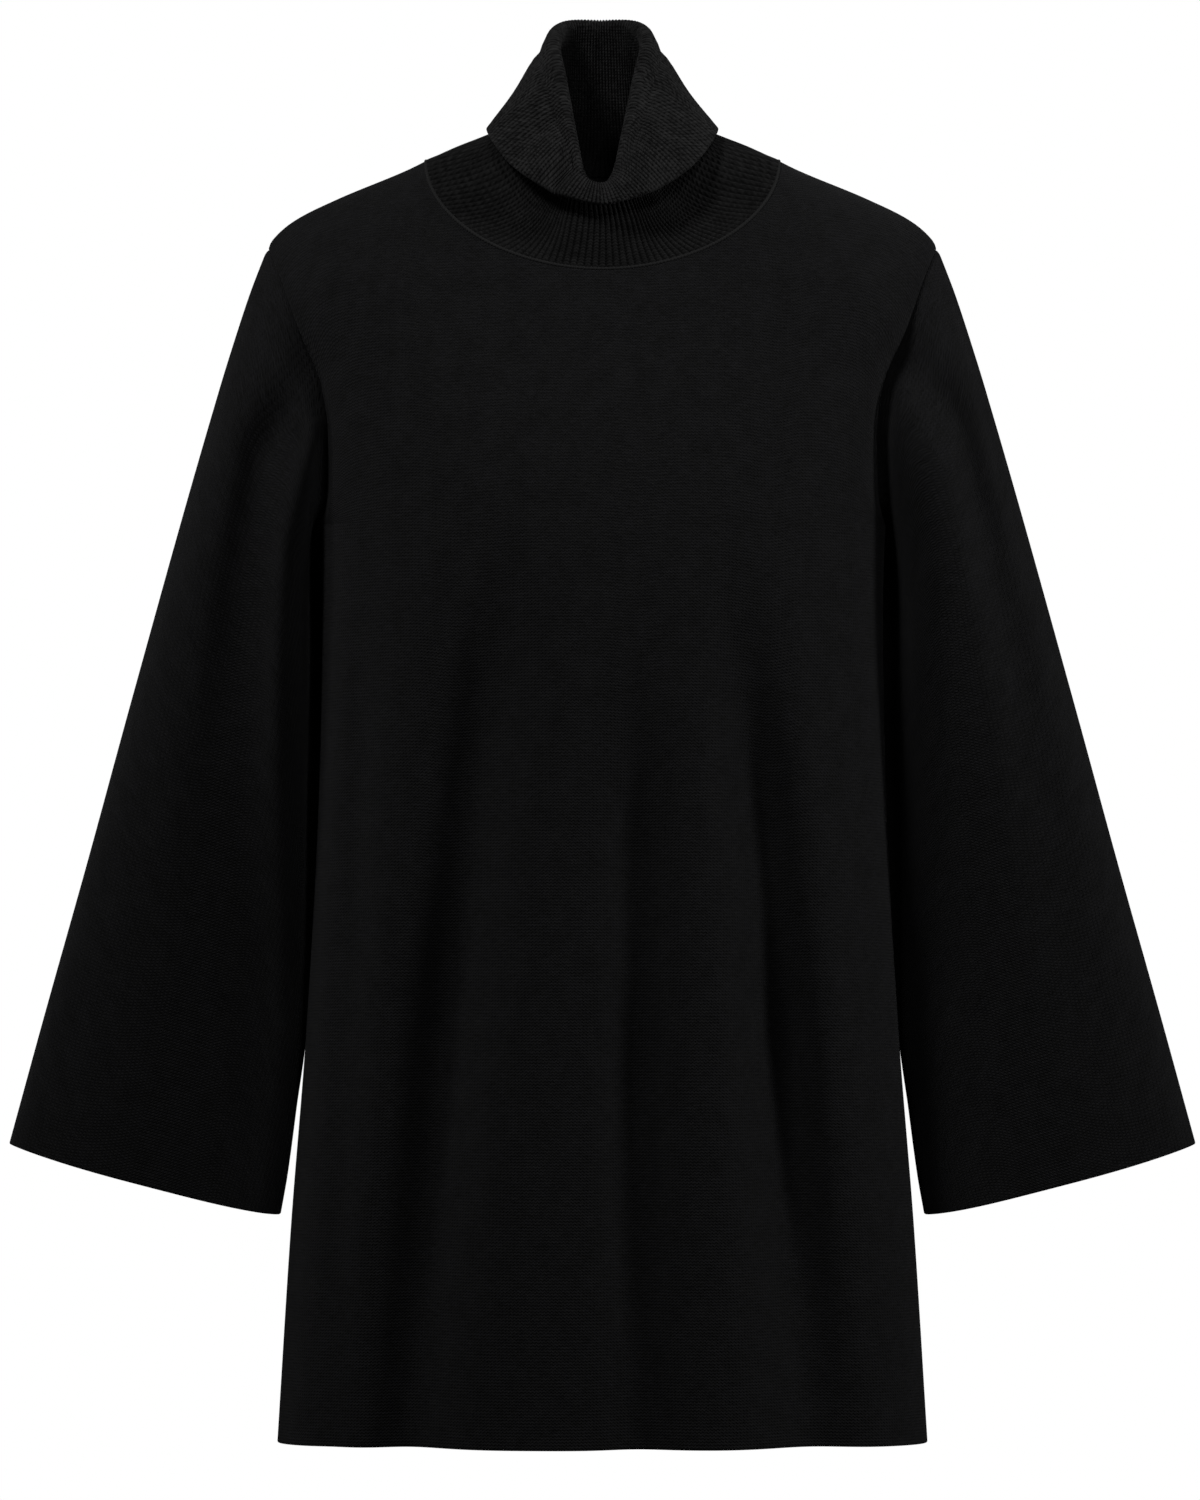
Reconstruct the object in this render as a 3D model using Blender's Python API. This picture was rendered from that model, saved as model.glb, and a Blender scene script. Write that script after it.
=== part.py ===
"""Roll-neck sweater dress with wide set-in sleeves, filled out as it hangs from the shoulders.

Metres, +Z up, the front faces -Y and the dress's own left is +X. The origin is on the shoulder line,
midway between the neck ends of the shoulder seams. Each knitted piece is one closed wall: two skins
of points, half a wall either side of a middle surface that is worked out from the sizes below.
"""

import math

import bmesh
import bpy
import numpy as np

# Cloth
WALL = 0.0020  # fine double-bed jersey
RIB_WALL = 0.0018  # the collar's wall under its ribs
RIB_RISE = 0.0008  # how far a rib stands above the wall
SEAM_GAP = 0.0003  # between two pieces where they are sewn

ROUGHNESS = 0.9
JERSEY = (0.0075, 0.0075, 0.0080)
JERSEY_PIECES = ["front", "back", "sleeve_left", "sleeve_right"]
RIB = (0.0085, 0.0085, 0.0090)

# Body, measured over the cloth
HEM_Z = -0.8423
HEM_LIFT = 0.0052  # the hem hangs this much higher at centre front and back than at the sides
UNDERARM_Z = -0.2380
SECTION_POWER = 2.4  # 2 is an ellipse, more is squarer
SHOULDER_ROUND = 0.080  # height over which the shoulder rolls from its seam to full depth
HOLLOW_ONSET = 1 / 3  # share of a hollow's fall over which it deepens
HOLLOW_TAPER = 0.3  # how much narrower it starts
HEM_EASE = 0.4  # share of its depth that it loses again towards the hem
SIDE_FADE = 0.060  # no hollow reaches the side seams: it fades where the section is less deep than this
NECK_HALF_WIDTH = 0.1160
NECK_DROP_FRONT = 0.0750
NECK_DROP_BACK = 0.0060
NECK_SHARE = 4 / 7  # share of a panel's columns that end at the neckline, the rest end at a shoulder
NECK_CROWDING = 1.35  # above 1, the columns crowd towards the neck ends of the shoulder seams
NECK_FAN = 0.45  # how widely the columns fan out below those ends
SHOULDER_CROWDING = 1.4  # above 1, the columns crowd towards the shoulder points
EDGE_SHARE = 0.6  # outer share of a panel's columns that bend to follow its armhole
CORNER_EASE = 3  # how soon, beside those ends, a column keeps the shoulder line's own rise
MITRE_LIMIT = 0.75  # a seam's face is lengthened by no more than 1 over this

# Sleeve
SETTLE_SHARE = 0.15  # share of the sleeve over which its armhole shape fades into a plain tube
WRAP_HALF = 0.030  # half of the depth over which the inner face slants in behind the body
SLEEVE_POWER = 2.5
INNER_POWER = 4.0  # of its front, next to the body
CUFF_BOW = 0.0035  # the cuff's edge hangs this much lower at its middle than a straight line
FOLD_SPREAD = 0.75  # half-width of a fold's hollow, as a share of the turn from its crest to its hollow
CREST_SPREAD = 0.60  # the same for its crest
CREST_HEIGHT = 0.55  # as a share of the fold's depth

# Collar
RIBS = 150
ROLL_RADIUS = 0.0034  # of the fold at the collar's top edge
LEAN = -0.0025  # the throat's lowest point lies this far to the right, its top half that
FLARE_PULL = 1.1  # how strongly the flare sets off from the seam towards the stand
ROUND_STEP = 0.5  # degrees each way, for the direction round the collar

# Mesh density
PANEL_COLUMNS = 28
BODY_BANDS = 8  # from hem to underarm
YOKE_BANDS = 18  # from underarm to shoulder, also half of a sleeve's columns
PLAIN_COLUMNS = 60  # around the collar where it has no ribs
STEP = 1e-4  # for slopes worked out by difference
EDGE_BEND = math.radians(60)  # outward bends beyond this are shaded as edges
GROOVE_BEND = math.radians(24)  # inward bends beyond this are shaded as grooves


def table(names, *rows):
    """Named columns from rows of numbers."""
    return dict(zip(names.split(), np.array(rows, float).T))


# Horizontal sections of the body, hem to neck. Above the underarm half_width is the width that the
# section would have if the armhole weren't cut out of it.
BODY = table(
    "z half_width front back",
    (-0.846, 0.2136, 0.128, 0.117),
    (-0.700, 0.2044, 0.125, 0.111),
    (-0.571, 0.1943, 0.121, 0.105),
    (-0.420, 0.1862, 0.118, 0.100),
    (-0.350, 0.1845, 0.118, 0.099),
    (-0.300, 0.1840, 0.118, 0.099),
    (-0.265, 0.1846, 0.117, 0.100),
    (-0.238, 0.1860, 0.115, 0.100),
    (-0.220, 0.1882, 0.113, 0.100),
    (-0.200, 0.1912, 0.110, 0.100),
    (-0.180, 0.1945, 0.106, 0.099),
    (-0.150, 0.2000, 0.099, 0.096),
    (-0.130, 0.2050, 0.093, 0.093),
    (-0.110, 0.2130, 0.087, 0.090),
    (-0.080, 0.2210, 0.077, 0.083),
    (-0.056, 0.2250, 0.069, 0.077),
    (-0.020, 0.2290, 0.062, 0.070),
    (0.010, 0.2300, 0.057, 0.063),
)

# The armhole's distance from the middle of the dress, underarm to shoulder point.
ARMHOLE = table(
    "z x",
    (-0.238, 0.1860),
    (-0.232, 0.1838),
    (-0.218, 0.1812),
    (-0.180, 0.1800),
    (-0.150, 0.1838),
    (-0.135, 0.1885),
    (-0.121, 0.1950),
    (-0.110, 0.1995),
    (-0.095, 0.2050),
    (-0.078, 0.2110),
    (-0.056, 0.2204),
)

# The shoulder line seen from the front. Inside the neck it is only the line that the roll follows.
SHOULDER = table(
    "x z",
    (0.0000, 0.0450),
    (0.0746, 0.0221),
    (0.1145, 0.0025),
    (0.1277, -0.0040),
    (0.1759, -0.0240),
    (0.2020, -0.0370),
    (0.2168, -0.0495),
    (0.2204, -0.0560),
    (0.2260, -0.0690),
)

# Soft hollows that fall from the bust and shoulder blades to the hem. side is -1 on the front.
HOLLOWS = [
    dict(side=-1, top_z=-0.20, top_x=-0.058, hem_x=-0.120, depth=0.0170, width=0.034),
    dict(side=-1, top_z=-0.24, top_x=0.082, hem_x=0.156, depth=0.0190, width=0.028),
    dict(side=-1, top_z=-0.28, top_x=0.022, hem_x=0.030, depth=0.0120, width=0.030),
    dict(side=1, top_z=-0.24, top_x=-0.070, hem_x=-0.125, depth=0.0140, width=0.030),
    dict(side=1, top_z=-0.22, top_x=0.082, hem_x=0.118, depth=0.0120, width=0.032),
    dict(side=1, top_z=-0.36, top_x=0.000, hem_x=-0.008, depth=0.0070, width=0.030),
]

# The sleeve's outer edge, seen from the front.
SLEEVE_OUTER = table(
    "z x",
    (-0.6460, 0.3905),
    (-0.5640, 0.3680),
    (-0.4590, 0.3385),
    (-0.3530, 0.3095),
    (-0.1680, 0.2573),
    (-0.0890, 0.2330),
    (-0.0660, 0.2244),
    (-0.0560, 0.2204),
)

# The sleeve's underarm edge, armhole to cuff. share runs from 0 at the armhole to 1 at the cuff.
SLEEVE_INNER = table(
    "share x z",
    (0.000, 0.1860, -0.2380),
    (0.010, 0.1892, -0.2374),
    (0.025, 0.1922, -0.2410),
    (0.045, 0.1938, -0.2500),
    (0.080, 0.1942, -0.2680),
    (0.200, 0.1940, -0.3260),
    (0.400, 0.1960, -0.4170),
    (0.600, 0.1966, -0.5090),
    (0.740, 0.1975, -0.5730),
    (0.850, 0.2034, -0.6240),
    (0.940, 0.2088, -0.6660),
    (1.000, 0.2133, -0.6920),
)

# Half of the sleeve's depth from front to back, how far its inner face slants in behind the body,
# and how far back its underarm edge hangs. share runs as above.
SLEEVE_DEPTH = table(
    "share depth wrap back",
    (0.00, 0.050, 0.000, 0.000),
    (0.05, 0.054, 0.008, 0.004),
    (0.12, 0.058, 0.0135, 0.008),
    (0.25, 0.059, 0.0150, 0.012),
    (0.45, 0.052, 0.014, 0.016),
    (0.65, 0.041, 0.0096, 0.017),
    (0.78, 0.034, 0.0046, 0.012),
    (1.00, 0.022, 0.000, 0.000),
)

# Rows of a sleeve's wall, armhole to cuff, crowded where it settles out of the armhole's shape.
SLEEVE_SHARES = [0, 0.012, 0.035, 0.07, 0.12, 0.19, 0.28, 0.39, 0.52, 0.65, 0.78, 0.90, 1.0]

# The fold that drops from each armhole seam: where its crest and its hollow lie, in degrees round the
# sleeve from the underarm edge, and its depth. The first table is the left sleeve's.
SLEEVE_FOLDS = {
    1: table(
        "share crest hollow depth",
        (0.00, 90, 115, 0.000),
        (0.05, 92, 118, 0.005),
        (0.12, 93, 120, 0.010),
        (0.20, 93, 120, 0.009),
        (0.30, 93, 120, 0.007),
        (0.42, 93, 120, 0.005),
        (0.60, 90, 117, 0.003),
        (1.00, 88, 115, 0.000),
    ),
    -1: table(
        "share crest hollow depth",
        (0.00, 76, 96, 0.000),
        (0.05, 77, 98, 0.005),
        (0.12, 78, 99, 0.009),
        (0.22, 76, 97, 0.008),
        (0.34, 70, 92, 0.006),
        (0.50, 58, 84, 0.005),
        (0.75, 38, 66, 0.004),
        (1.00, 30, 60, 0.002),
    ),
}
BACK_FOLD_TURN = 12  # degrees further out that each sleeve's fold lies on its back
BACK_FOLD_SHARE = 0.8  # of the front fold's depth

# The collar's rolled top edge and the loose lower edge of its turned-down half. Angle is 0 at centre
# front and 180 at centre back, and the other side mirrors it.
COLLAR_ROLL = table(
    "angle x y z",
    (0, 0.0000, -0.0660, -0.0228),
    (10, 0.0074, -0.0645, -0.0203),
    (22, 0.0130, -0.0600, -0.0125),
    (45, 0.0185, -0.0450, 0.0105),
    (70, 0.0228, -0.0270, 0.0335),
    (95, 0.0272, -0.0060, 0.0575),
    (122, 0.0314, 0.0170, 0.0810),
    (150, 0.0240, 0.0370, 0.0930),
    (180, 0.0000, 0.0460, 0.0950),
)
COLLAR_EDGE = table(
    "angle x y z",
    (0, 0.0000, -0.0860, -0.0320),
    (20, 0.0230, -0.0825, -0.0270),
    (45, 0.0450, -0.0700, -0.0160),
    (65, 0.0615, -0.0500, -0.0020),
    (80, 0.0710, -0.0260, 0.0115),
    (97, 0.0755, 0.0020, 0.0225),
    (120, 0.0665, 0.0350, 0.0210),
    (148, 0.0390, 0.0600, 0.0140),
    (180, 0.0000, 0.0700, 0.0110),
)

# How far the stand lies inside the turned-down edge, how far up it its widest place is, how far the
# flare below bows up, and how far the turned-down half bows out.
COLLAR_LAYERS = table(
    "angle stand_off knee_up flare_bow turn_bow",
    (0, 0.0165, 0.0080, -0.0010, 0.0060),
    (35, 0.0190, 0.0090, -0.0050, 0.0048),
    (62, 0.0170, 0.0070, -0.0050, 0.0034),
    (80, 0.0095, 0.0025, -0.0010, 0.0031),
    (97, 0.0060, 0.0000, 0.0030, 0.0038),
    (120, 0.0055, 0.0000, 0.0022, 0.0041),
    (140, 0.0055, 0.0000, 0.0000, 0.0045),
    (180, 0.0055, 0.0000, 0.0000, 0.0045),
)
STAND_DENT = dict(angle=58, spread=13, depth=0.0030)  # the hollow in the stand's left front
TURN_CREASE = dict(angle=-66, spread=9, depth=0.0035)  # the crease in the turned-down right front


def through(at, knots, values, slope):
    """A smooth curve through knots with given slopes there, level beyond its ends."""
    at = np.clip(at, knots[0], knots[-1])
    i = np.clip(np.searchsorted(knots, at) - 1, 0, len(knots) - 2)
    span = knots[i + 1] - knots[i]
    t = (at - knots[i]) / span
    return hermite(values[i], slope[i] * span, values[i + 1], slope[i + 1] * span, t)


def hermite(start, start_slope, end, end_slope, t):
    return (
        start * (1 + 2 * t) * (1 - t) ** 2
        + start_slope * t * (1 - t) ** 2
        + end * t * t * (3 - 2 * t)
        + end_slope * t * t * (t - 1)
    )


def curve(at, knots, values):
    """A smooth curve through a table's rows that never swings past them."""
    order = np.argsort(knots)
    knots, values = knots[order], values[order]
    rise = np.diff(values) / np.diff(knots)
    before, after = rise[:-1], rise[1:]
    same_way = before * after > 0
    slope = np.concatenate([rise[:1], np.zeros(len(before)), rise[-1:]])
    slope[1:-1][same_way] = (2 * before * after)[same_way] / (before + after)[same_way]
    return through(at, knots, values, slope)


def smooth(t):
    """0 to 1 with level ends."""
    t = np.clip(t, 0, 1)
    return t * t * (3 - 2 * t)


def unit(v):
    return v / np.maximum(np.linalg.norm(v, axis=-1, keepdims=True), 1e-12)


def power(v, exponent):
    """v to an exponent, keeping its sign."""
    return np.sign(v) * np.abs(v) ** exponent


# Body


def hollow_depth(side, x, y, z):
    """How far the soft hollows push a panel in at a place on it; nothing at its side edges."""
    total = np.zeros(np.broadcast(x, z).shape)
    for h in HOLLOWS:
        if h["side"] != side:
            continue
        fallen = np.clip((h["top_z"] - z) / (h["top_z"] - HEM_Z), 0, 1)
        line = h["top_x"] + (h["hem_x"] - h["top_x"]) * fallen
        width = h["width"] * (1 - HOLLOW_TAPER * (1 - fallen))
        deep = smooth(fallen / HOLLOW_ONSET) * (1 - HEM_EASE * smooth(2 * fallen - 1))
        total = total + h["depth"] * deep * np.exp(-(((x - line) / width) ** 2))
    return total * smooth(y / SIDE_FADE)


def panel_swell(x, z):
    """The square of a section's depth as a share of its greatest; below 0 beyond its outline."""
    width = curve(z, BODY["z"], BODY["half_width"])
    section = power(1 - (np.abs(x) / width) ** SECTION_POWER, 2 / SECTION_POWER)
    below = (curve(np.abs(x), SHOULDER["x"], SHOULDER["z"]) - z) / SHOULDER_ROUND
    below = np.minimum(below, 1)
    return section * below * (2 - below)


def panel_depths(x, z, side):
    """A section's greatest depth, and how far the soft hollows push the panel in."""
    greatest = curve(z, BODY["z"], BODY["front" if side < 0 else "back"])
    depth = greatest * np.sqrt(np.clip(panel_swell(x, z), 0, 1))
    return greatest, hollow_depth(side, x, depth, z)


def panel_point(u, v, side):
    """The body's middle surface. u runs from -1 to 1 between the side seams, v from 0 at the hem
    through 1 at the underarm to 2 at the shoulder seam and neckline; side is -1 front, 1 back."""
    u, v = np.broadcast_arrays(np.asarray(u, float), np.asarray(v, float))
    across = np.abs(u)
    half_turn = math.pi / 2

    # The top edge: neckline, then shoulder seam
    to_shoulder = 1 - np.clip(across / NECK_SHARE, 0, 1)
    neck_angle = np.radians(neck_column_angle(across))
    neck_end_z = curve(NECK_HALF_WIDTH, SHOULDER["x"], SHOULDER["z"])
    drop = NECK_DROP_FRONT if side < 0 else NECK_DROP_BACK
    on_shoulder = np.clip((across - NECK_SHARE) / (1 - NECK_SHARE), 0, 1)
    point_x = ARMHOLE["x"][-1]
    top_x = np.where(
        across <= NECK_SHARE,
        NECK_HALF_WIDTH * np.sin(neck_angle),
        NECK_HALF_WIDTH + (point_x - NECK_HALF_WIDTH) * (1 - (1 - on_shoulder) ** SHOULDER_CROWDING),
    )
    top_z = np.where(
        across <= NECK_SHARE,
        neck_end_z - drop * np.cos(neck_angle),
        curve(top_x, SHOULDER["x"], SHOULDER["z"]),
    )

    # Height
    hem_z = HEM_Z + HEM_LIFT * (1 - across**3)
    rise = np.clip(v - 1, 0, 1)
    onto_neck = smooth(2 * to_shoulder)
    climb = (1 - np.cos(rise * math.pi)) / 2
    climb += onto_neck * (1 - np.cos(rise * half_turn) - climb)
    edge_climb = (1 - np.cos(rise * math.pi)) / 2
    z = np.where(
        v <= 1,
        hem_z + (UNDERARM_Z - hem_z) * np.clip(v, 0, 1),
        UNDERARM_Z + (top_z - UNDERARM_Z) * climb,
    )

    # Angle round the section: even spacing below, and above it follows neck, shoulder and armhole
    def angle_at(x, height):
        width = curve(height, BODY["z"], BODY["half_width"])
        return np.arcsin(np.clip(x / width, 0, 1) ** (SECTION_POWER / 2))

    plain = half_turn * across ** (SECTION_POWER / 2)
    top = angle_at(top_x, top_z)
    edge_z = UNDERARM_Z + (ARMHOLE["z"][-1] - UNDERARM_Z) * edge_climb
    edge_now = (1 - edge_climb) * half_turn + edge_climb * angle_at(point_x, ARMHOLE["z"][-1])
    edge_pull = angle_at(curve(edge_z, ARMHOLE["z"], ARMHOLE["x"]), edge_z) - edge_now
    near_edge = np.clip(1 - (1 - across) / EDGE_SHARE, 0, 1) ** 2
    near_corner = np.where(
        across < NECK_SHARE, (across / NECK_SHARE) ** 3, (1 - across) / (1 - NECK_SHARE)
    )
    fan = NECK_FAN * near_corner * np.sqrt(1 - edge_climb) * edge_climb**2
    angle = (1 - climb) * plain + climb * top + near_edge * edge_pull * (v > 1) + fan

    x = curve(z, BODY["z"], BODY["half_width"]) * np.sin(angle) ** (2 / SECTION_POWER)
    moved = curve(top_x, SHOULDER["x"], SHOULDER["z"]) - curve(x, SHOULDER["x"], SHOULDER["z"])
    z = z - moved * climb * np.clip(CORNER_EASE * near_corner, 0, 1) * (v > 1)
    x = np.sign(u) * x
    greatest, hollow = panel_depths(x, z, side)
    y = greatest * np.sqrt(np.clip(panel_swell(x, z), 0, 1)) - hollow
    return np.stack([x, side * y, z], axis=-1)


def panel_normal(points, side):
    """The way out of the cloth at points of a panel's middle surface."""

    def level(place):
        x, y, z = np.moveaxis(place, -1, 0)
        greatest, hollow = panel_depths(x, z, side)
        return ((side * y + hollow) / greatest) ** 2 - panel_swell(x, z)

    steps = np.eye(3) * STEP
    return unit(np.stack([level(points + d) - level(points - d) for d in steps], axis=-1))


# Seams


def mitre(first, second):
    """The direction of a seam's face between two pieces, lengthened so that neither wall thins."""
    middle = unit(first + second)
    return middle / np.clip(np.sum(middle * first, axis=-1, keepdims=True), MITRE_LIMIT, 1)


def across_seam(leaving, face, along):
    """The part of a direction that crosses a seam square to its face."""
    face, along = unit(face), unit(along)
    flat = leaving - np.sum(leaving * face, axis=-1, keepdims=True) * face
    return unit(flat - np.sum(flat * along, axis=-1, keepdims=True) * along)


def armhole_stations():
    """v at each station of the armhole, underarm to shoulder point."""
    return 1 + np.linspace(0, 1, YOKE_BANDS + 1)


def armhole_loop(hand):
    """Points and cloth normals round an armhole: up the front from the underarm, down the back."""
    up = armhole_stations()
    front, back = panel_point(hand, up, -1), panel_point(hand, up, 1)
    normal_front, normal_back = panel_normal(front, -1), panel_normal(back, 1)
    points = np.concatenate([front, back[-2:0:-1]])
    normals = np.concatenate([normal_front, normal_back[-2:0:-1]])
    for end, pair in ((0, (0, 0)), (YOKE_BANDS, (-1, -1))):
        points[end][1] = 0
        normals[end] = unit(normal_front[pair[0]] + normal_back[pair[1]])
    return points, normals


# Sleeve


def sleeve_grid(shares, hand, loop):
    """The sleeve's middle surface: a row of points for each share, armhole to cuff."""
    length = np.linalg.norm(np.diff(np.concatenate([loop, loop[:1]]), axis=0), axis=1)
    walked = np.concatenate([[0], np.cumsum(length)[:-1]])
    half = walked[YOKE_BANDS]
    front = np.arange(len(loop)) <= YOKE_BANDS
    total = walked[-1] + length[-1]
    turn = np.where(front, walked / half, (total - walked) / (total - half)) * math.pi
    toward = np.where(front, -1.0, 1.0)

    def tube(share):
        outer_z = SLEEVE_OUTER["z"][-1] + (SLEEVE_OUTER["z"][0] - SLEEVE_OUTER["z"][-1]) * share
        outer_x = curve(outer_z, SLEEVE_OUTER["z"], SLEEVE_OUTER["x"])
        inner_x = curve(share, SLEEVE_INNER["share"], SLEEVE_INNER["x"])
        inner_z = curve(share, SLEEVE_INNER["share"], SLEEVE_INNER["z"])
        depth = curve(share, SLEEVE_DEPTH["share"], SLEEVE_DEPTH["depth"])
        wrap = curve(share, SLEEVE_DEPTH["share"], SLEEVE_DEPTH["wrap"])
        back = curve(share, SLEEVE_DEPTH["share"], SLEEVE_DEPTH["back"])
        section = np.where(front & (turn < math.pi / 2), INNER_POWER, SLEEVE_POWER)
        out = (1 - power(np.cos(turn), 2 / section)) / 2
        y = toward * depth * np.abs(np.sin(turn)) ** (2 / section)
        x = inner_x + (outer_x - inner_x) * out
        x = x - wrap * smooth(y / WRAP_HALF) * (1 - out) ** 2
        z = inner_z + (outer_z - inner_z) * out - CUFF_BOW * np.sin(turn) ** 2 * share**4
        return np.stack([hand * x, y + back * (1 - out), z], axis=-1)

    rows = []
    start = tube(0.0)
    for share in shares:
        row = tube(share) + (loop - start) * (1 - smooth(share / SETTLE_SHARE))
        row[:, 1] -= toward * sleeve_fold(hand, share, turn, front) * np.sin(turn) ** 2
        rows.append(row)
    return np.array(rows)


def sleeve_fold(hand, share, turn, front):
    """How far the sleeve's long fold pushes the cloth in; below 0 where it stands out as a crest."""
    fold = SLEEVE_FOLDS[hand]
    crest, hollow, depth = [
        curve(share, fold["share"], fold[name]) for name in ("crest", "hollow", "depth")
    ]
    away = np.degrees(turn) - np.where(front, 0, BACK_FOLD_TURN)
    turn_between = hollow - crest
    sunk = np.exp(-(((away - hollow) / (FOLD_SPREAD * turn_between)) ** 2))
    raised = np.exp(-(((away - crest) / (CREST_SPREAD * turn_between)) ** 2))
    return depth * np.where(front, 1, BACK_FOLD_SHARE) * (sunk - CREST_HEIGHT * raised)


# Collar


def ring(angle, name, loop):
    """A column of a collar table read at an angle on either side, in degrees."""
    sign = -1 if name == "x" else 1
    knots, values = loop["angle"], loop[name]
    knots = np.concatenate([knots[1:] - 360, -knots[:0:-1], knots, 360 - knots[-2::-1]])
    values = np.concatenate([values[1:], sign * values[:0:-1], values, sign * values[-2::-1]])
    knots, first = np.unique(knots, return_index=True)
    values = values[first]
    span = np.diff(knots)
    rise = np.diff(values) / span
    middle = (rise[:-1] * span[1:] + rise[1:] * span[:-1]) / (span[1:] + span[:-1])
    return through(angle, knots, values, np.concatenate([rise[:1], middle, rise[-1:]]))


def collar_loop(angle, loop):
    return np.stack([ring(angle, name, loop) for name in ("x", "y", "z")], axis=-1)


def neck_column_angle(u):
    """Degrees round the neck from centre front at a front panel's columns."""
    to_shoulder = 1 - np.clip(np.abs(u) / NECK_SHARE, 0, 1)
    return np.sign(u) * 90 * (1 - to_shoulder**NECK_CROWDING)


def neck_stations():
    """The neckline's angles, points and cloth normals at the panels' own columns."""
    u = np.linspace(-NECK_SHARE, NECK_SHARE, round(PANEL_COLUMNS * NECK_SHARE) + 1)
    ends = neck_column_angle(u)
    angles = np.concatenate([ends, 180 - ends[-2::-1]])
    front, back = panel_point(u, 2.0, -1), panel_point(u, 2.0, 1)
    points = np.concatenate([front, back[-2::-1]])
    normals = np.concatenate([panel_normal(front, -1), panel_normal(back, 1)[-2::-1]])
    normals[[0, len(front) - 1, -1], 1] = 0
    return angles, points, unit(normals)


def between_stations(angle, stations, values):
    """Values at any angle round the neck, along the straight edges between its stations."""
    wrapped = np.where(angle < -90, angle + 360, angle)
    return np.stack([np.interp(wrapped, stations, values[:, i]) for i in range(3)], axis=-1)


def neck_points(angle):
    stations, points, _ = neck_stations()
    return between_stations(angle, stations, points)


def bump(angle, place):
    return place["depth"] * np.exp(-(((angle - place["angle"]) / place["spread"]) ** 2))


# Rows of the collar's wall, seam to loose edge: which stretch, and how far along it.
COLLAR_ROWS = (
    [("flare", t) for t in (0.0, 0.3, 0.65, 1.0)]
    + [("stand", t) for t in (0.33, 0.67, 1.0)]
    + [("roll", t) for t in (0.25, 0.5, 0.75)]
    + [("turn", t) for t in (0.0, 0.45, 1.0)]
)
FLARE_END = 3  # last row where the outer face of the stand shows
ROLL_MIDDLE = 8  # top of the fold, where the turned-down half's ribs begin


def collar_rows(angle):
    """The collar's middle surface, one row for each of COLLAR_ROWS."""
    seam = neck_points(angle)
    roll = collar_loop(angle, COLLAR_ROLL)
    edge = collar_loop(angle, COLLAR_EDGE)
    roll[:, 0] += LEAN * (3 + np.cos(np.radians(angle))) / 4
    along = collar_loop(angle + ROUND_STEP, COLLAR_ROLL) - collar_loop(angle - ROUND_STEP, COLLAR_ROLL)
    up = unit(roll - edge)
    out = unit(np.cross(along, up))
    up = unit(np.cross(out, along))
    stand_off = ring(angle, "stand_off", COLLAR_LAYERS) + bump(angle, STAND_DENT)
    turn_bow = ring(angle, "turn_bow", COLLAR_LAYERS) - bump(angle, TURN_CREASE)
    flare_bow = ring(angle, "flare_bow", COLLAR_LAYERS)
    knee = edge - out * stand_off[:, None]
    knee += up * ring(angle, "knee_up", COLLAR_LAYERS)[:, None]
    inner = roll - out * ROLL_RADIUS
    outer = roll + out * ROLL_RADIUS
    knee_slope = unit(inner - seam) * np.linalg.norm(inner - knee, axis=1, keepdims=True)
    rows = []
    for stretch, t in COLLAR_ROWS:
        if stretch == "flare":
            slope = knee_slope * (
                np.linalg.norm(knee - seam, axis=1, keepdims=True)
                / np.linalg.norm(knee_slope, axis=1, keepdims=True)
            )
            lift = unit(np.cross(along, knee - seam)) * (flare_bow * 4 * t * (1 - t))[:, None]
            rows.append(hermite(seam, (knee - seam) * FLARE_PULL, knee, slope, t) + lift)
        elif stretch == "stand":
            reach = np.linalg.norm(inner - knee, axis=1, keepdims=True)
            rows.append(hermite(knee, knee_slope, inner, up * reach, t))
        elif stretch == "roll":
            a = math.pi * t
            rows.append(roll + ROLL_RADIUS * (up * math.sin(a) - out * math.cos(a)))
        else:
            rows.append(outer + (edge - outer) * t + out * (turn_bow * 4 * t * (1 - t))[:, None])
    return np.array(rows)


def collar_normals(rows, spacing):
    """Normals that point to the knit's right side: out on the stand, in on the turned-down half."""
    along = np.roll(rows, -spacing, axis=1) - np.roll(rows, spacing, axis=1)
    up = np.gradient(rows, axis=0)
    return unit(np.cross(along, up))


# Solids


def skin_faces(index, points, closed, flipped):
    """Triangles over a grid of vertex numbers, each cell split across its shorter diagonal in a
    grid of points, so that two skins of one middle surface are split alike."""
    faces = []
    rows, columns = index.shape
    for i in range(rows - 1):
        for j in range(columns if closed else columns - 1):
            k = (j + 1) % columns
            corners = [(i, j), (i, k), (i + 1, k), (i + 1, j)]
            if np.linalg.norm(points[i, j] - points[i + 1, k]) > 1.001 * np.linalg.norm(
                points[i, k] - points[i + 1, j]
            ):
                corners = corners[1:] + corners[:1]
            a, b, c, d = [index[place] for place in corners]
            pair = [[a, b, c], [a, c, d]]
            faces += [face[::-1] for face in pair] if flipped else pair
    return faces


def stitch(low, high):
    """Triangles between two closed rings of vertex numbers, whatever their counts."""
    faces = []
    i = j = 0
    while i < len(low) or j < len(high):
        low_next = (i + 0.5) / len(low) <= (j + 0.5) / len(high)
        if j >= len(high) or (i < len(low) and low_next):
            faces.append([low[i % len(low)], low[(i + 1) % len(low)], high[j % len(high)]])
            i += 1
        else:
            faces.append([low[i % len(low)], high[(j + 1) % len(high)], high[j % len(high)]])
            j += 1
    return faces


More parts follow.
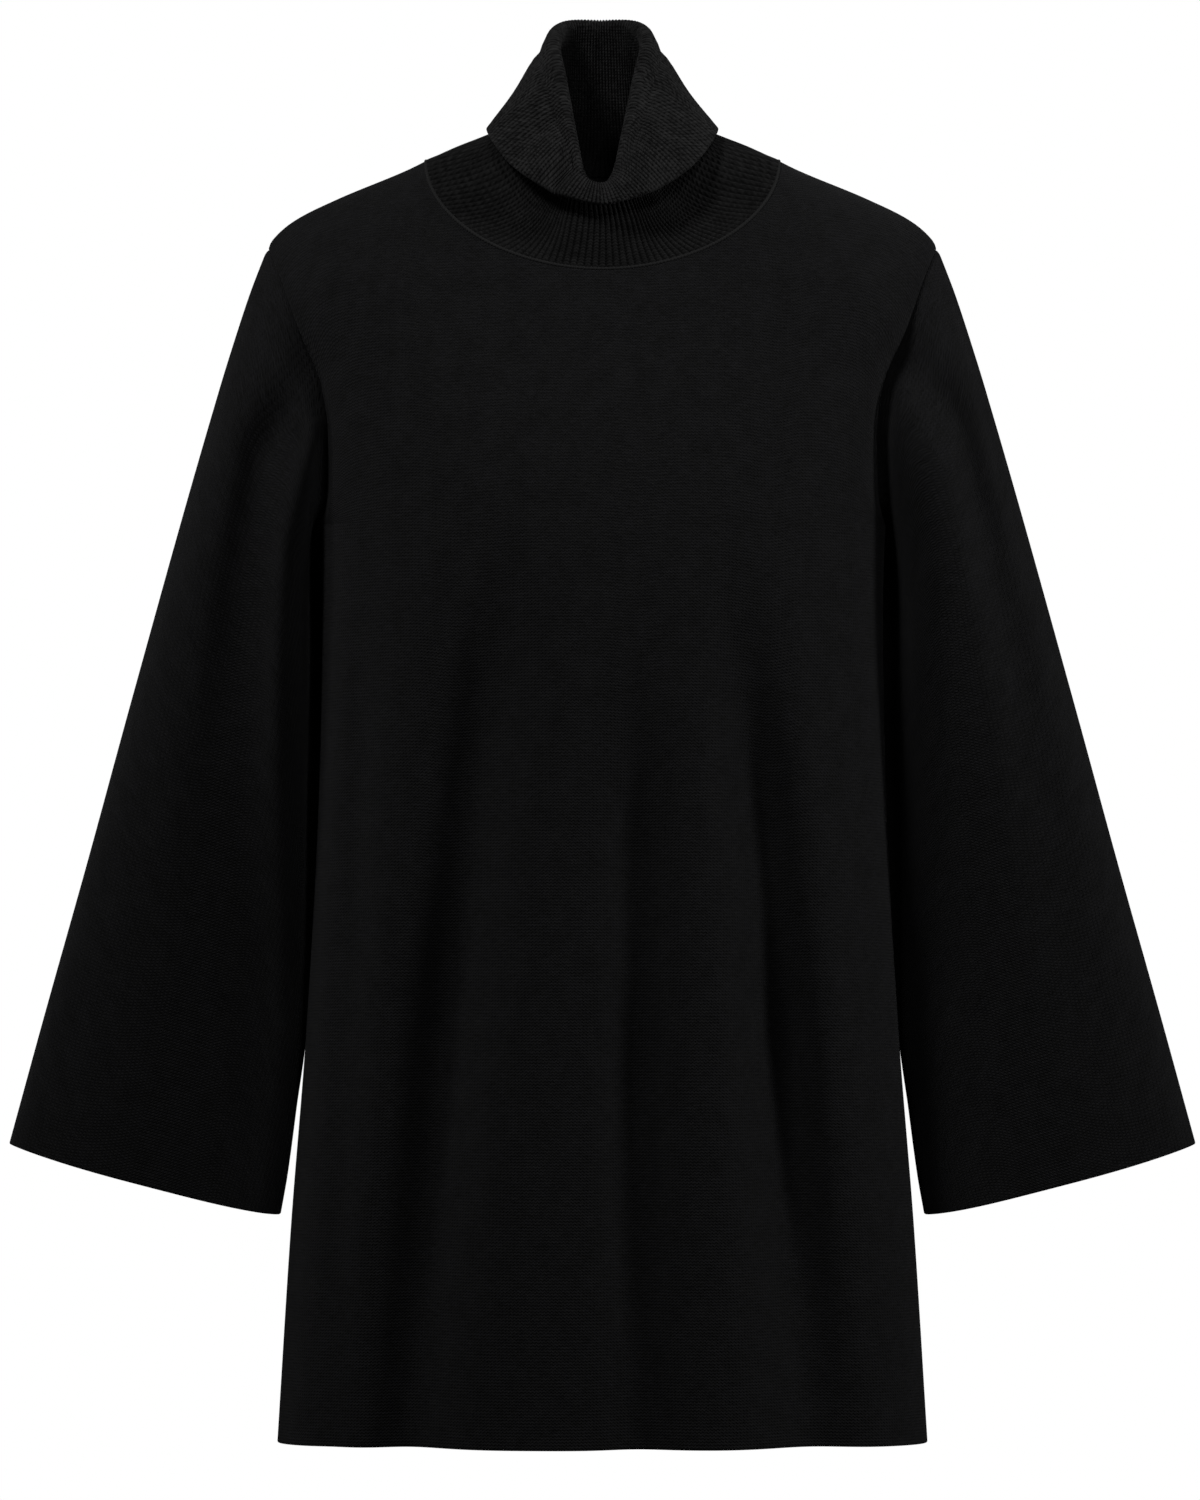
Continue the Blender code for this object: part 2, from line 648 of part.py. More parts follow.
def knit_material(name, colour):
    """A matt knit in one near-black colour."""
    material = bpy.data.materials.new(name)
    material.use_nodes = True
    shader = material.node_tree.nodes["Principled BSDF"]
    shader.inputs["Base Color"].default_value = (*colour, 1.0)
    shader.inputs["Roughness"].default_value = ROUGHNESS
    shader.inputs["Metallic"].default_value = 0.0
    material.diffuse_color = (*colour, 1.0)
    return material


def add_solid(name, points, faces, material):
    """One closed mesh, shaded smooth except at cut edges and in the grooves between ribs."""
    mesh = bpy.data.meshes.new(name)
    mesh.from_pydata([tuple(p) for p in points], [], [tuple(int(i) for i in f) for f in faces])
    mesh.materials.append(material)
    mesh.shade_smooth()
    shape = bmesh.new()
    shape.from_mesh(mesh)
    for edge in shape.edges:
        bend = edge.calc_face_angle_signed(0)
        edge.smooth = bend < EDGE_BEND and bend > -GROOVE_BEND
    shape.to_mesh(mesh)
    shape.free()
    obj = bpy.data.objects.new(name, mesh)
    bpy.context.scene.collection.objects.link(obj)
    return obj


def wall(name, middle, half_step, closed, material):
    """A closed solid from a grid of middle points and the half-wall step to its outer skin."""
    rows, columns = middle.shape[:2]
    outer = np.arange(rows * columns).reshape(rows, columns)
    inner = outer + rows * columns
    grids = np.stack([middle + half_step, middle - half_step])
    faces = skin_faces(outer, middle, closed, False) + skin_faces(inner, middle, closed, True)
    edges = [((1, 0), 0, slice(None)), ((0, 1), -1, slice(None))]
    if not closed:
        edges += [((0, 1), slice(None), 0), ((1, 0), slice(None), -1)]
    for order, row, column in edges:
        index = np.array([[outer, inner][k][row, column] for k in order])
        points = np.array([grids[k][row, column] for k in order])
        faces += skin_faces(index, points, closed, False)
    normal = np.cross(middle[0, 1] - middle[0, 0], middle[1, 0] - middle[0, 0])
    if np.dot(normal, half_step[0, 0]) < 0:
        faces = [f[::-1] for f in faces]
    return add_solid(name, grids.reshape(-1, 3), faces, material)


def build_panel(name, side, armholes, neck, material):
    """Front or back of the body, hem to neckline."""
    u = np.linspace(-1, 1, PANEL_COLUMNS + 1)
    v = np.concatenate([np.linspace(0, 1, BODY_BANDS + 1)[:-1], armhole_stations()])
    grid_u, grid_v = np.meshgrid(u, v)
    middle = panel_point(grid_u, grid_v, side)
    out = panel_normal(middle, side)
    for hand, column in ((-1, 0), (1, -1)):
        face, leaving = armholes[hand]
        stations = np.arange(YOKE_BANDS + 1)
        if side > 0:
            stations = (2 * YOKE_BANDS - stations) % (2 * YOKE_BANDS)
        out[BODY_BANDS:, column] = face[stations]
        middle[BODY_BANDS:, column] -= leaving[stations] * SEAM_GAP / 2
        out[:BODY_BANDS, column] = (hand, 0, 0)
    shoulder = np.abs(u) > NECK_SHARE + STEP
    shoulder[[0, -1]] = False
    out[-1, shoulder] = mitre(out[-1, shoulder], out[-1, shoulder] * (1, -1, 1))
    neck_columns = np.flatnonzero(np.abs(u) <= NECK_SHARE + STEP)
    face, leaving = neck(neck_column_angle(u[neck_columns]), side)
    out[-1, neck_columns] = face
    middle[-1, neck_columns] -= leaving * SEAM_GAP / 2
    shoulder = np.abs(u) >= NECK_SHARE - STEP
    middle[-1, shoulder, 1] += side * SEAM_GAP / 2
    middle[: BODY_BANDS + 1, [0, -1], 1] += side * SEAM_GAP / 2
    return wall(name, middle, out * WALL / 2, False, material)


def build_sleeve(name, hand, loop, armhole, material):
    """One sleeve, armhole to cuff."""
    face, leaving = armhole
    middle = sleeve_grid(SLEEVE_SHARES, hand, loop)
    out = sleeve_normals(middle, hand)
    out[0] = face
    middle[0] += leaving * SEAM_GAP / 2
    return wall(name, middle, out * WALL / 2, True, material)


def sleeve_normals(grid, hand):
    """The way out of the cloth at a sleeve's middle points."""
    around = np.roll(grid, -1, axis=1) - np.roll(grid, 1, axis=1)
    down = np.gradient(grid, axis=0)
    return unit(np.cross(down, around)) * hand


def armhole_seam(hand, loop, loop_normals):
    """The seam's face and the direction across it, from the body to the sleeve."""
    first = sleeve_grid([0.0, 0.012], hand, loop)
    leaving = unit(first[1] - first[0])
    along = np.roll(loop, -1, axis=0) - np.roll(loop, 1, axis=0)
    sleeve_out = unit(np.cross(leaving, along)) * hand
    face = mitre(loop_normals, sleeve_out)
    return face, across_seam(leaving, face, along)


def neck_seam(angle):
    """The neck seam's face and the direction across it, from the body to the collar."""
    stations, points, body_out = neck_stations()
    rows = collar_rows(np.where(stations > 180, stations - 360, stations))
    leaving = unit(rows[1] - rows[0])
    along = np.roll(points, -1, axis=0) - np.roll(points, 1, axis=0)
    along[0] = along[-1] = points[1] - points[-2]
    face = mitre(body_out, unit(np.cross(along, leaving)))
    leaving = across_seam(leaving, face, along)
    face[-1], leaving[-1] = face[0], leaving[0]
    return between_stations(angle, stations, face), between_stations(angle, stations, leaving)


def panel_neck_seam(angle, side):
    """neck_seam for a panel's own column angles, -90 to 90 from its centre line."""
    return neck_seam(angle if side < 0 else np.where(angle >= 0, 180 - angle, -180 - angle))


def build_collar(name, material):
    """The rib collar: up from the neck seam, over its rolled top and down again outside."""
    per_rib = 2
    fine = -180 + 360 * np.arange(RIBS * per_rib) / (RIBS * per_rib)
    coarse = -180 + 360 * np.arange(PLAIN_COLUMNS) / PLAIN_COLUMNS
    crest = np.arange(RIBS * per_rib) % per_rib == 0

    def skin(angle, side, ribbed):
        rows = collar_rows(angle)
        out = collar_normals(rows, round(len(angle) / PLAIN_COLUMNS))
        face, leaving = neck_seam(angle)
        out[0] = face
        rows[0] += leaving * SEAM_GAP / 2
        step = np.full(len(angle), RIB_WALL / 2)
        rise = np.where(crest, RIB_RISE, 0) if ribbed else 0
        return rows + side * out * (step + rise)[None, :, None]

    right_ribbed = skin(fine, 1, True)[: FLARE_END + 1]
    right_plain = skin(coarse, 1, False)[FLARE_END + 1 :]
    wrong_plain = skin(coarse, -1, False)[:ROLL_MIDDLE]
    wrong_ribbed = skin(fine, -1, True)[ROLL_MIDDLE:]
    blocks = [right_ribbed, right_plain, wrong_ribbed[::-1], wrong_plain[::-1]]
    points, faces, rings = [], [], []
    for block in blocks:
        start = sum(len(p) for p in points)
        index = start + np.arange(block.shape[0] * block.shape[1]).reshape(block.shape[:2])
        points.append(block.reshape(-1, 3))
        faces += skin_faces(index, block, True, False)
        rings.append((index[0], index[-1]))
    for k, (_, last) in enumerate(rings):
        faces += stitch(list(last), list(rings[(k + 1) % len(rings)][0]))
    return add_solid(name, np.concatenate(points), faces, material)


def main():
    for obj in list(bpy.data.objects):
        bpy.data.objects.remove(obj)
    jersey = {name: knit_material(name + "_jersey", JERSEY) for name in JERSEY_PIECES}
    armholes = {}
    for hand, name in ((1, "sleeve_left"), (-1, "sleeve_right")):
        loop, loop_normals = armhole_loop(hand)
        armholes[hand] = armhole_seam(hand, loop, loop_normals)
        build_sleeve(name, hand, loop, armholes[hand], jersey[name])
    build_panel("front", -1, armholes, panel_neck_seam, jersey["front"])
    build_panel("back", 1, armholes, panel_neck_seam, jersey["back"])
    build_collar("collar", knit_material("collar_rib", RIB))


main()
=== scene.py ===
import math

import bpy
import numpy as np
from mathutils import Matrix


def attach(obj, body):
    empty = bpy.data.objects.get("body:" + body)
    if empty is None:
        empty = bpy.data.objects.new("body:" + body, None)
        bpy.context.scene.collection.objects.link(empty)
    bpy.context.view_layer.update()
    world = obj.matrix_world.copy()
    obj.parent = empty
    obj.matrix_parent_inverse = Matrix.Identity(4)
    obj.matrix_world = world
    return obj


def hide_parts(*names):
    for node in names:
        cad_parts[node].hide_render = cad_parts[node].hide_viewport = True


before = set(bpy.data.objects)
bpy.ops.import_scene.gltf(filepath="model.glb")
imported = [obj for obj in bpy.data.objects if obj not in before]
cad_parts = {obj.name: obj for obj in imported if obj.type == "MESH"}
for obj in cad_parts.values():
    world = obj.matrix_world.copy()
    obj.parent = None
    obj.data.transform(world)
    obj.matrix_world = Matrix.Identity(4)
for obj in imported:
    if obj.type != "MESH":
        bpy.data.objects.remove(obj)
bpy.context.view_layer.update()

# A black roll-neck sweater dress in fine-gauge jersey, filled out as it hangs from the shoulders.
# Metres, +Z up, the front faces -Y and the dress's own left is +X. Each shell of cloth follows the
# solid that it stands for, with many more points, edges rolled in where they are sewn or turned, and
# taller ribs all over the collar. The sizes are the solid's, but the front hollow on the dress's left
# ends 12 mm nearer the middle, and the folds of the sleeves are up to 3 mm deeper. The creases, the
# drawn-in seams, and a groove and one of the dents in the collar's turned-down half are only here.

# Cloth
CLOTH = 0.0020  # thickness of the jersey
RIB_CLOTH = 0.0018  # thickness of the collar under its ribs
RIB_RISE = 0.0012  # how far a rib stands above that cloth, on both of its sides
RIB_ROUNDING = 0.5  # below 1, the ribs are broad and the channels between them narrow
LINKING_YARN = 0.0011  # radius of the raised chain along the neck seam
CHAIN_STITCHES = 300  # in that chain
STITCH_SWELL = 0.14  # how far each of them swells, as a share of the radius
CHAIN_SEAT = 0.45  # how far the chain's middle stands off the seam's, as a share of CLOTH

# Body, measured over the cloth
HEM_Z = -0.8423
HEM_LIFT = 0.0052  # the hem hangs this much higher at centre front and back than at the sides
UNDERARM_Z = -0.2380
SECTION_POWER = 2.4  # 2 is an ellipse, more is squarer
SHOULDER_ROUND = 0.080  # height over which the shoulder rolls from its seam to full depth
HOLLOW_ONSET = 1 / 3  # share of a hollow's fall over which it deepens
HOLLOW_TAPER = 0.3  # how much narrower it starts
HEM_EASE = 0.4  # share of its depth that it loses again towards the hem
SIDE_FADE = 0.060  # no hollow reaches the side seams: it fades where the section is less deep than this
NECK_HALF_WIDTH = 0.1160
NECK_DROP_FRONT = 0.0750
NECK_DROP_BACK = 0.0060
NECK_SHARE = 4 / 7  # share of a panel's columns that end at the neckline, the rest end at a shoulder
NECK_CROWDING = 1.35  # above 1, the columns crowd towards the neck ends of the shoulder seams
NECK_FAN = 0.45  # how widely the columns fan out below those ends
SHOULDER_CROWDING = 1.4  # above 1, the columns crowd towards the shoulder points
EDGE_SHARE = 0.6  # outer share of a panel's columns that bend to follow its armhole
CORNER_EASE = 3  # how soon, beside those ends, a column keeps the shoulder line's own rise
MITRE_LIMIT = 0.75  # a seam's face is lengthened by no more than 1 over this

# Sleeve
SETTLE_SHARE = 0.15  # share of the sleeve over which its armhole shape fades into a plain tube
WRAP_HALF = 0.030  # this far behind mid-side, the inner face has slanted in fully behind the body
SLEEVE_POWER = 2.5  # of its section, where 2 is an ellipse and more is squarer
INNER_POWER = 4.0  # the same for its front next to the body
CUFF_BOW = 0.0035  # the cuff's edge hangs this much lower at its middle than a straight line
FOLD_SPREAD = 0.75  # half-width of a fold's hollow, as a share of the turn from its crest to its hollow
CREST_SPREAD = 0.60  # the same for its crest
CREST_HEIGHT = 0.55  # as a share of the fold's depth

# Collar
RIBS = 150
ROLL_RADIUS = 0.0034  # of the fold at the collar's top edge
LEAN = -0.0025  # the throat's lowest point lies this far off the middle, its top half that
FLARE_PULL = 1.1  # how strongly the flare sets off from the seam towards the stand
ROUND_STEP = 0.5  # degrees each way, for the direction round the collar

# Seams that draw in
CREVICE = 0.34  # how far the cloth falls in along an armhole, as a share of its distance from mid-side
CREVICE_HALF = 0.0095  # half-width of that crease
CREVICE_TOP = -0.070  # it starts here
CREVICE_FADE = 0.090  # and has its full depth this much lower
SEAM_SINK = 0.0009  # every armhole and shoulder seam sits this much lower than the cloth beside it
SEAM_HALF = 0.0022
SEAM_ONSET = 3  # bands above the underarm over which an armhole seam starts to sink
NO_SEAM = 1.0  # a distance at which no seam is felt

# Points
PANEL_COLUMNS = 168
BODY_BANDS = 84  # from hem to underarm
YOKE_BANDS = 60  # from underarm to shoulder, also half of a sleeve's columns
SLEEVE_BANDS = 110
RIB_COLUMNS = 6  # in each rib of the collar
STITCH_COLUMNS = 6  # in each stitch of the chain
CHAIN_SIDES = 8  # round the chain
PLAIN_COLUMNS = 150  # spacing used for the collar's slopes
STEP = 1e-4  # for slopes worked out by difference
SHORTEST = 1e-12  # keeps a direction without length from dividing by nothing
NECK_ROWS = (0.0035, 0.0085)  # more rows beside the neckline, as shares of the yoke
ROLLED = (0.0001, 0.0003, 0.0006, 0.0010, 0.0018, 0.0032)  # rows this far from an edge
HALF_PANEL = 0.26  # rough length of cloth that those are placed on: centre line to side seam
BELOW_ARMS = 0.60  # the same from hem to underarm
SLEEVE_LENGTH = 0.58  # and from armhole to cuff


def table(names, *rows):
    """Named columns from rows of numbers."""
    return dict(zip(names.split(), np.array(rows, float).T))


# Horizontal sections of the body, hem to neck. Above the underarm half_width is the width that the
# section would have if the armhole weren't cut out of it.
BODY = table(
    "z half_width front back",
    (-0.846, 0.2136, 0.128, 0.117),
    (-0.700, 0.2044, 0.125, 0.111),
    (-0.571, 0.1943, 0.121, 0.105),
    (-0.420, 0.1862, 0.118, 0.100),
    (-0.350, 0.1845, 0.118, 0.099),
    (-0.300, 0.1840, 0.118, 0.099),
    (-0.265, 0.1846, 0.117, 0.100),
    (-0.238, 0.1860, 0.115, 0.100),
    (-0.220, 0.1882, 0.113, 0.100),
    (-0.200, 0.1912, 0.110, 0.100),
    (-0.180, 0.1945, 0.106, 0.099),
    (-0.150, 0.2000, 0.099, 0.096),
    (-0.130, 0.2050, 0.093, 0.093),
    (-0.110, 0.2130, 0.087, 0.090),
    (-0.080, 0.2210, 0.077, 0.083),
    (-0.056, 0.2250, 0.069, 0.077),
    (-0.020, 0.2290, 0.062, 0.070),
    (0.010, 0.2300, 0.057, 0.063),
)

# The armhole's distance from the middle of the dress, underarm to shoulder point.
ARMHOLE = table(
    "z x",
    (-0.238, 0.1860),
    (-0.232, 0.1838),
    (-0.218, 0.1812),
    (-0.180, 0.1800),
    (-0.150, 0.1838),
    (-0.135, 0.1885),
    (-0.121, 0.1950),
    (-0.110, 0.1995),
    (-0.095, 0.2050),
    (-0.078, 0.2110),
    (-0.056, 0.2204),
)

# The shoulder line seen from the front. Inside the neck it is only the line that the roll follows.
SHOULDER = table(
    "x z",
    (0.0000, 0.0450),
    (0.0746, 0.0221),
    (0.1145, 0.0025),
    (0.1277, -0.0040),
    (0.1759, -0.0240),
    (0.2020, -0.0370),
    (0.2168, -0.0495),
    (0.2204, -0.0560),
    (0.2260, -0.0690),
)

# Soft hollows that fall from the bust and shoulder blades to the hem. side is -1 on the front.
HOLLOWS = [
    dict(side=-1, top_z=-0.20, top_x=-0.058, hem_x=-0.120, depth=0.0170, width=0.034),
    dict(side=-1, top_z=-0.24, top_x=0.082, hem_x=0.144, depth=0.0190, width=0.028),
    dict(side=-1, top_z=-0.28, top_x=0.022, hem_x=0.030, depth=0.0120, width=0.030),
    dict(side=1, top_z=-0.24, top_x=-0.070, hem_x=-0.125, depth=0.0140, width=0.030),
    dict(side=1, top_z=-0.22, top_x=0.082, hem_x=0.118, depth=0.0120, width=0.032),
    dict(side=1, top_z=-0.36, top_x=0.000, hem_x=-0.008, depth=0.0070, width=0.030),
]

# Creases, given one by one, which deepen those hollows or lie between them. A depth below 0 stands out.
CREASES = [
    dict(side=-1, top_z=-0.22, top_x=-0.150, hem_x=-0.176, depth=0.0060, width=0.014),
    dict(side=-1, top_z=-0.22, top_x=-0.078, hem_x=-0.126, depth=0.0060, width=0.019),
    dict(side=-1, top_z=-0.27, top_x=0.086, hem_x=0.136, depth=0.0060, width=0.021),
    dict(side=-1, top_z=-0.31, top_x=0.018, hem_x=0.022, depth=0.0055, width=0.019),
    dict(side=-1, top_z=-0.44, top_x=-0.096, hem_x=-0.124, depth=0.0110, width=0.026),
    dict(side=-1, top_z=-0.46, top_x=0.108, hem_x=0.118, depth=0.0130, width=0.026),
    dict(side=-1, top_z=-0.50, top_x=0.018, hem_x=0.016, depth=0.0060, width=0.024),
    dict(side=1, top_z=-0.26, top_x=-0.040, hem_x=-0.075, depth=-0.0040, width=0.022),
    dict(side=1, top_z=-0.30, top_x=-0.036, hem_x=-0.055, depth=0.0045, width=0.022),
    dict(side=1, top_z=-0.28, top_x=0.042, hem_x=0.060, depth=0.0050, width=0.024),
    dict(side=1, top_z=-0.25, top_x=0.110, hem_x=0.160, depth=-0.0040, width=0.020),
]

# The sleeve's outer edge, seen from the front.
SLEEVE_OUTER = table(
    "z x",
    (-0.6460, 0.3905),
    (-0.5640, 0.3680),
    (-0.4590, 0.3385),
    (-0.3530, 0.3095),
    (-0.1680, 0.2573),
    (-0.0890, 0.2330),
    (-0.0660, 0.2244),
    (-0.0560, 0.2204),
)

# The sleeve's underarm edge, armhole to cuff. share runs from 0 at the armhole to 1 at the cuff.
SLEEVE_INNER = table(
    "share x z",
    (0.000, 0.1860, -0.2380),
    (0.010, 0.1892, -0.2374),
    (0.025, 0.1922, -0.2410),
    (0.045, 0.1938, -0.2500),
    (0.080, 0.1942, -0.2680),
    (0.200, 0.1940, -0.3260),
    (0.400, 0.1960, -0.4170),
    (0.600, 0.1966, -0.5090),
    (0.740, 0.1975, -0.5730),
    (0.850, 0.2034, -0.6240),
    (0.940, 0.2088, -0.6660),
    (1.000, 0.2133, -0.6920),
)

# Half of the sleeve's depth from front to back, how far its inner face slants in behind the body,
# and how far back its underarm edge hangs. share runs as above.
SLEEVE_DEPTH = table(
    "share depth wrap back",
    (0.00, 0.050, 0.000, 0.000),
    (0.05, 0.054, 0.008, 0.004),
    (0.12, 0.058, 0.0135, 0.008),
    (0.25, 0.059, 0.0150, 0.012),
    (0.45, 0.052, 0.014, 0.016),
    (0.65, 0.041, 0.0096, 0.017),
    (0.78, 0.034, 0.0046, 0.012),
    (1.00, 0.022, 0.000, 0.000),
)

# The fold that drops from each armhole seam: where its crest and its hollow lie, in degrees round the
# sleeve from the underarm edge, and its depth. The first table is the left sleeve's.
SLEEVE_FOLDS = {
    1: table(
        "share crest hollow depth",
        (0.00, 90, 115, 0.000),
        (0.05, 92, 118, 0.007),
        (0.12, 94, 116, 0.012),
        (0.20, 94, 116, 0.012),
        (0.30, 94, 117, 0.009),
        (0.42, 93, 118, 0.006),
        (0.60, 90, 117, 0.003),
        (1.00, 88, 115, 0.000),
    ),
    -1: table(
        "share crest hollow depth",
        (0.00, 76, 96, 0.000),
        (0.05, 77, 98, 0.007),
        (0.12, 78, 98, 0.012),
        (0.22, 76, 96, 0.011),
        (0.34, 70, 92, 0.009),
        (0.50, 58, 84, 0.005),
        (0.75, 38, 66, 0.004),
        (1.00, 30, 60, 0.002),
    ),
}
BACK_FOLD_TURN = 12  # degrees further out that each sleeve's fold lies on its back
BACK_FOLD_SHARE = 0.8  # of the front fold's depth

# The collar's rolled top edge and the loose lower edge of its turned-down half. Angle is 0 at centre
# front and 180 at centre back, and the other side mirrors it.
COLLAR_ROLL = table(
    "angle x y z",
    (0, 0.0000, -0.0660, -0.0228),
    (10, 0.0074, -0.0645, -0.0203),
    (22, 0.0130, -0.0600, -0.0125),
    (45, 0.0185, -0.0450, 0.0105),
    (70, 0.0228, -0.0270, 0.0335),
    (95, 0.0272, -0.0060, 0.0575),
    (122, 0.0314, 0.0170, 0.0810),
    (150, 0.0240, 0.0370, 0.0930),
    (180, 0.0000, 0.0460, 0.0950),
)
COLLAR_EDGE = table(
    "angle x y z",
    (0, 0.0000, -0.0860, -0.0320),
    (20, 0.0230, -0.0825, -0.0270),
    (45, 0.0450, -0.0700, -0.0160),
    (65, 0.0615, -0.0500, -0.0020),
    (80, 0.0710, -0.0260, 0.0115),
    (97, 0.0755, 0.0020, 0.0225),
    (120, 0.0665, 0.0350, 0.0210),
    (148, 0.0390, 0.0600, 0.0140),
    (180, 0.0000, 0.0700, 0.0110),
)

# How far the stand lies inside the turned-down edge, how far up it its widest place is, how far the
# flare below bows up, and how far the turned-down half bows out.
COLLAR_LAYERS = table(
    "angle stand_off knee_up flare_bow turn_bow",
    (0, 0.0165, 0.0080, -0.0010, 0.0060),
    (35, 0.0190, 0.0090, -0.0050, 0.0048),
    (62, 0.0170, 0.0070, -0.0050, 0.0034),
    (80, 0.0095, 0.0025, -0.0010, 0.0031),
    (97, 0.0060, 0.0000, 0.0030, 0.0038),
    (120, 0.0055, 0.0000, 0.0022, 0.0041),
    (140, 0.0055, 0.0000, 0.0000, 0.0045),
    (180, 0.0055, 0.0000, 0.0000, 0.0045),
)
STAND_DENT = dict(angle=58, spread=13, depth=0.0030)  # the hollow in the stand's left front
TURN_CREASE = dict(angle=-66, spread=9, depth=0.0035)  # the crease in the turned-down right front
TURN_DENT = dict(angle=-30, spread=7, depth=0.0065)  # a deeper dent beside it, nearer the throat
RIM_GROOVE = dict(angle=0.14, spread=0.06, depth=0.0018)  # beside the rolled edge, by share of the turn


def through(at, knots, values, slope):
    """A smooth curve through knots with given slopes there, level beyond its ends."""
    at = np.clip(at, knots[0], knots[-1])
    i = np.clip(np.searchsorted(knots, at) - 1, 0, len(knots) - 2)
    span = knots[i + 1] - knots[i]
    t = (at - knots[i]) / span
    return hermite(values[i], slope[i] * span, values[i + 1], slope[i + 1] * span, t)


def hermite(start, start_slope, end, end_slope, t):
    """The cubic that leaves start and meets end with those slopes, as t goes from 0 to 1."""
    return (
        start * (1 + 2 * t) * (1 - t) ** 2
        + start_slope * t * (1 - t) ** 2
        + end * t * t * (3 - 2 * t)
        + end_slope * t * t * (t - 1)
    )


def curve(at, knots, values):
    """A smooth curve through a table's rows that never swings past them."""
    order = np.argsort(knots)
    knots, values = knots[order], values[order]
    rise = np.diff(values) / np.diff(knots)
    before, after = rise[:-1], rise[1:]
    same_way = before * after > 0
    slope = np.concatenate([rise[:1], np.zeros(len(before)), rise[-1:]])
    slope[1:-1][same_way] = (2 * before * after)[same_way] / (before + after)[same_way]
    return through(at, knots, values, slope)


def smooth(t):
    """0 to 1 with level ends."""
    t = np.clip(t, 0, 1)
    return t * t * (3 - 2 * t)


def unit(v):
    """Vectors drawn out or in to a length of 1."""
    return v / np.maximum(np.linalg.norm(v, axis=-1, keepdims=True), SHORTEST)


def power(v, exponent):
    """v to an exponent, keeping its sign."""
    return np.sign(v) * np.abs(v) ** exponent


# Body


def hollow_depth(side, x, y, z):
    """How far hollows and creases push a panel in at a place on it; nothing at its side edges."""
    total = np.zeros(np.broadcast(x, z).shape)
    for h in HOLLOWS + CREASES:
        if h["side"] != side:
            continue
        fallen = np.clip((h["top_z"] - z) / (h["top_z"] - HEM_Z), 0, 1)
        line = h["top_x"] + (h["hem_x"] - h["top_x"]) * fallen
        width = h["width"] * (1 - HOLLOW_TAPER * (1 - fallen))
        deep = smooth(fallen / HOLLOW_ONSET) * (1 - HEM_EASE * smooth(2 * fallen - 1))
        total = total + h["depth"] * deep * np.exp(-(((x - line) / width) ** 2))
    return total * smooth(y / SIDE_FADE)


def panel_swell(x, z):
    """The square of a section's depth as a share of its greatest; below 0 beyond its outline."""
    width = curve(z, BODY["z"], BODY["half_width"])
    section = power(1 - (np.abs(x) / width) ** SECTION_POWER, 2 / SECTION_POWER)
    below = (curve(np.abs(x), SHOULDER["x"], SHOULDER["z"]) - z) / SHOULDER_ROUND
    below = np.minimum(below, 1)
    return section * below * (2 - below)


def panel_depths(x, z, side):
    """A section's greatest depth, and how far hollows and creases push the panel in."""
    greatest = curve(z, BODY["z"], BODY["front" if side < 0 else "back"])
    depth = greatest * np.sqrt(np.clip(panel_swell(x, z), 0, 1))
    return greatest, hollow_depth(side, x, depth, z)


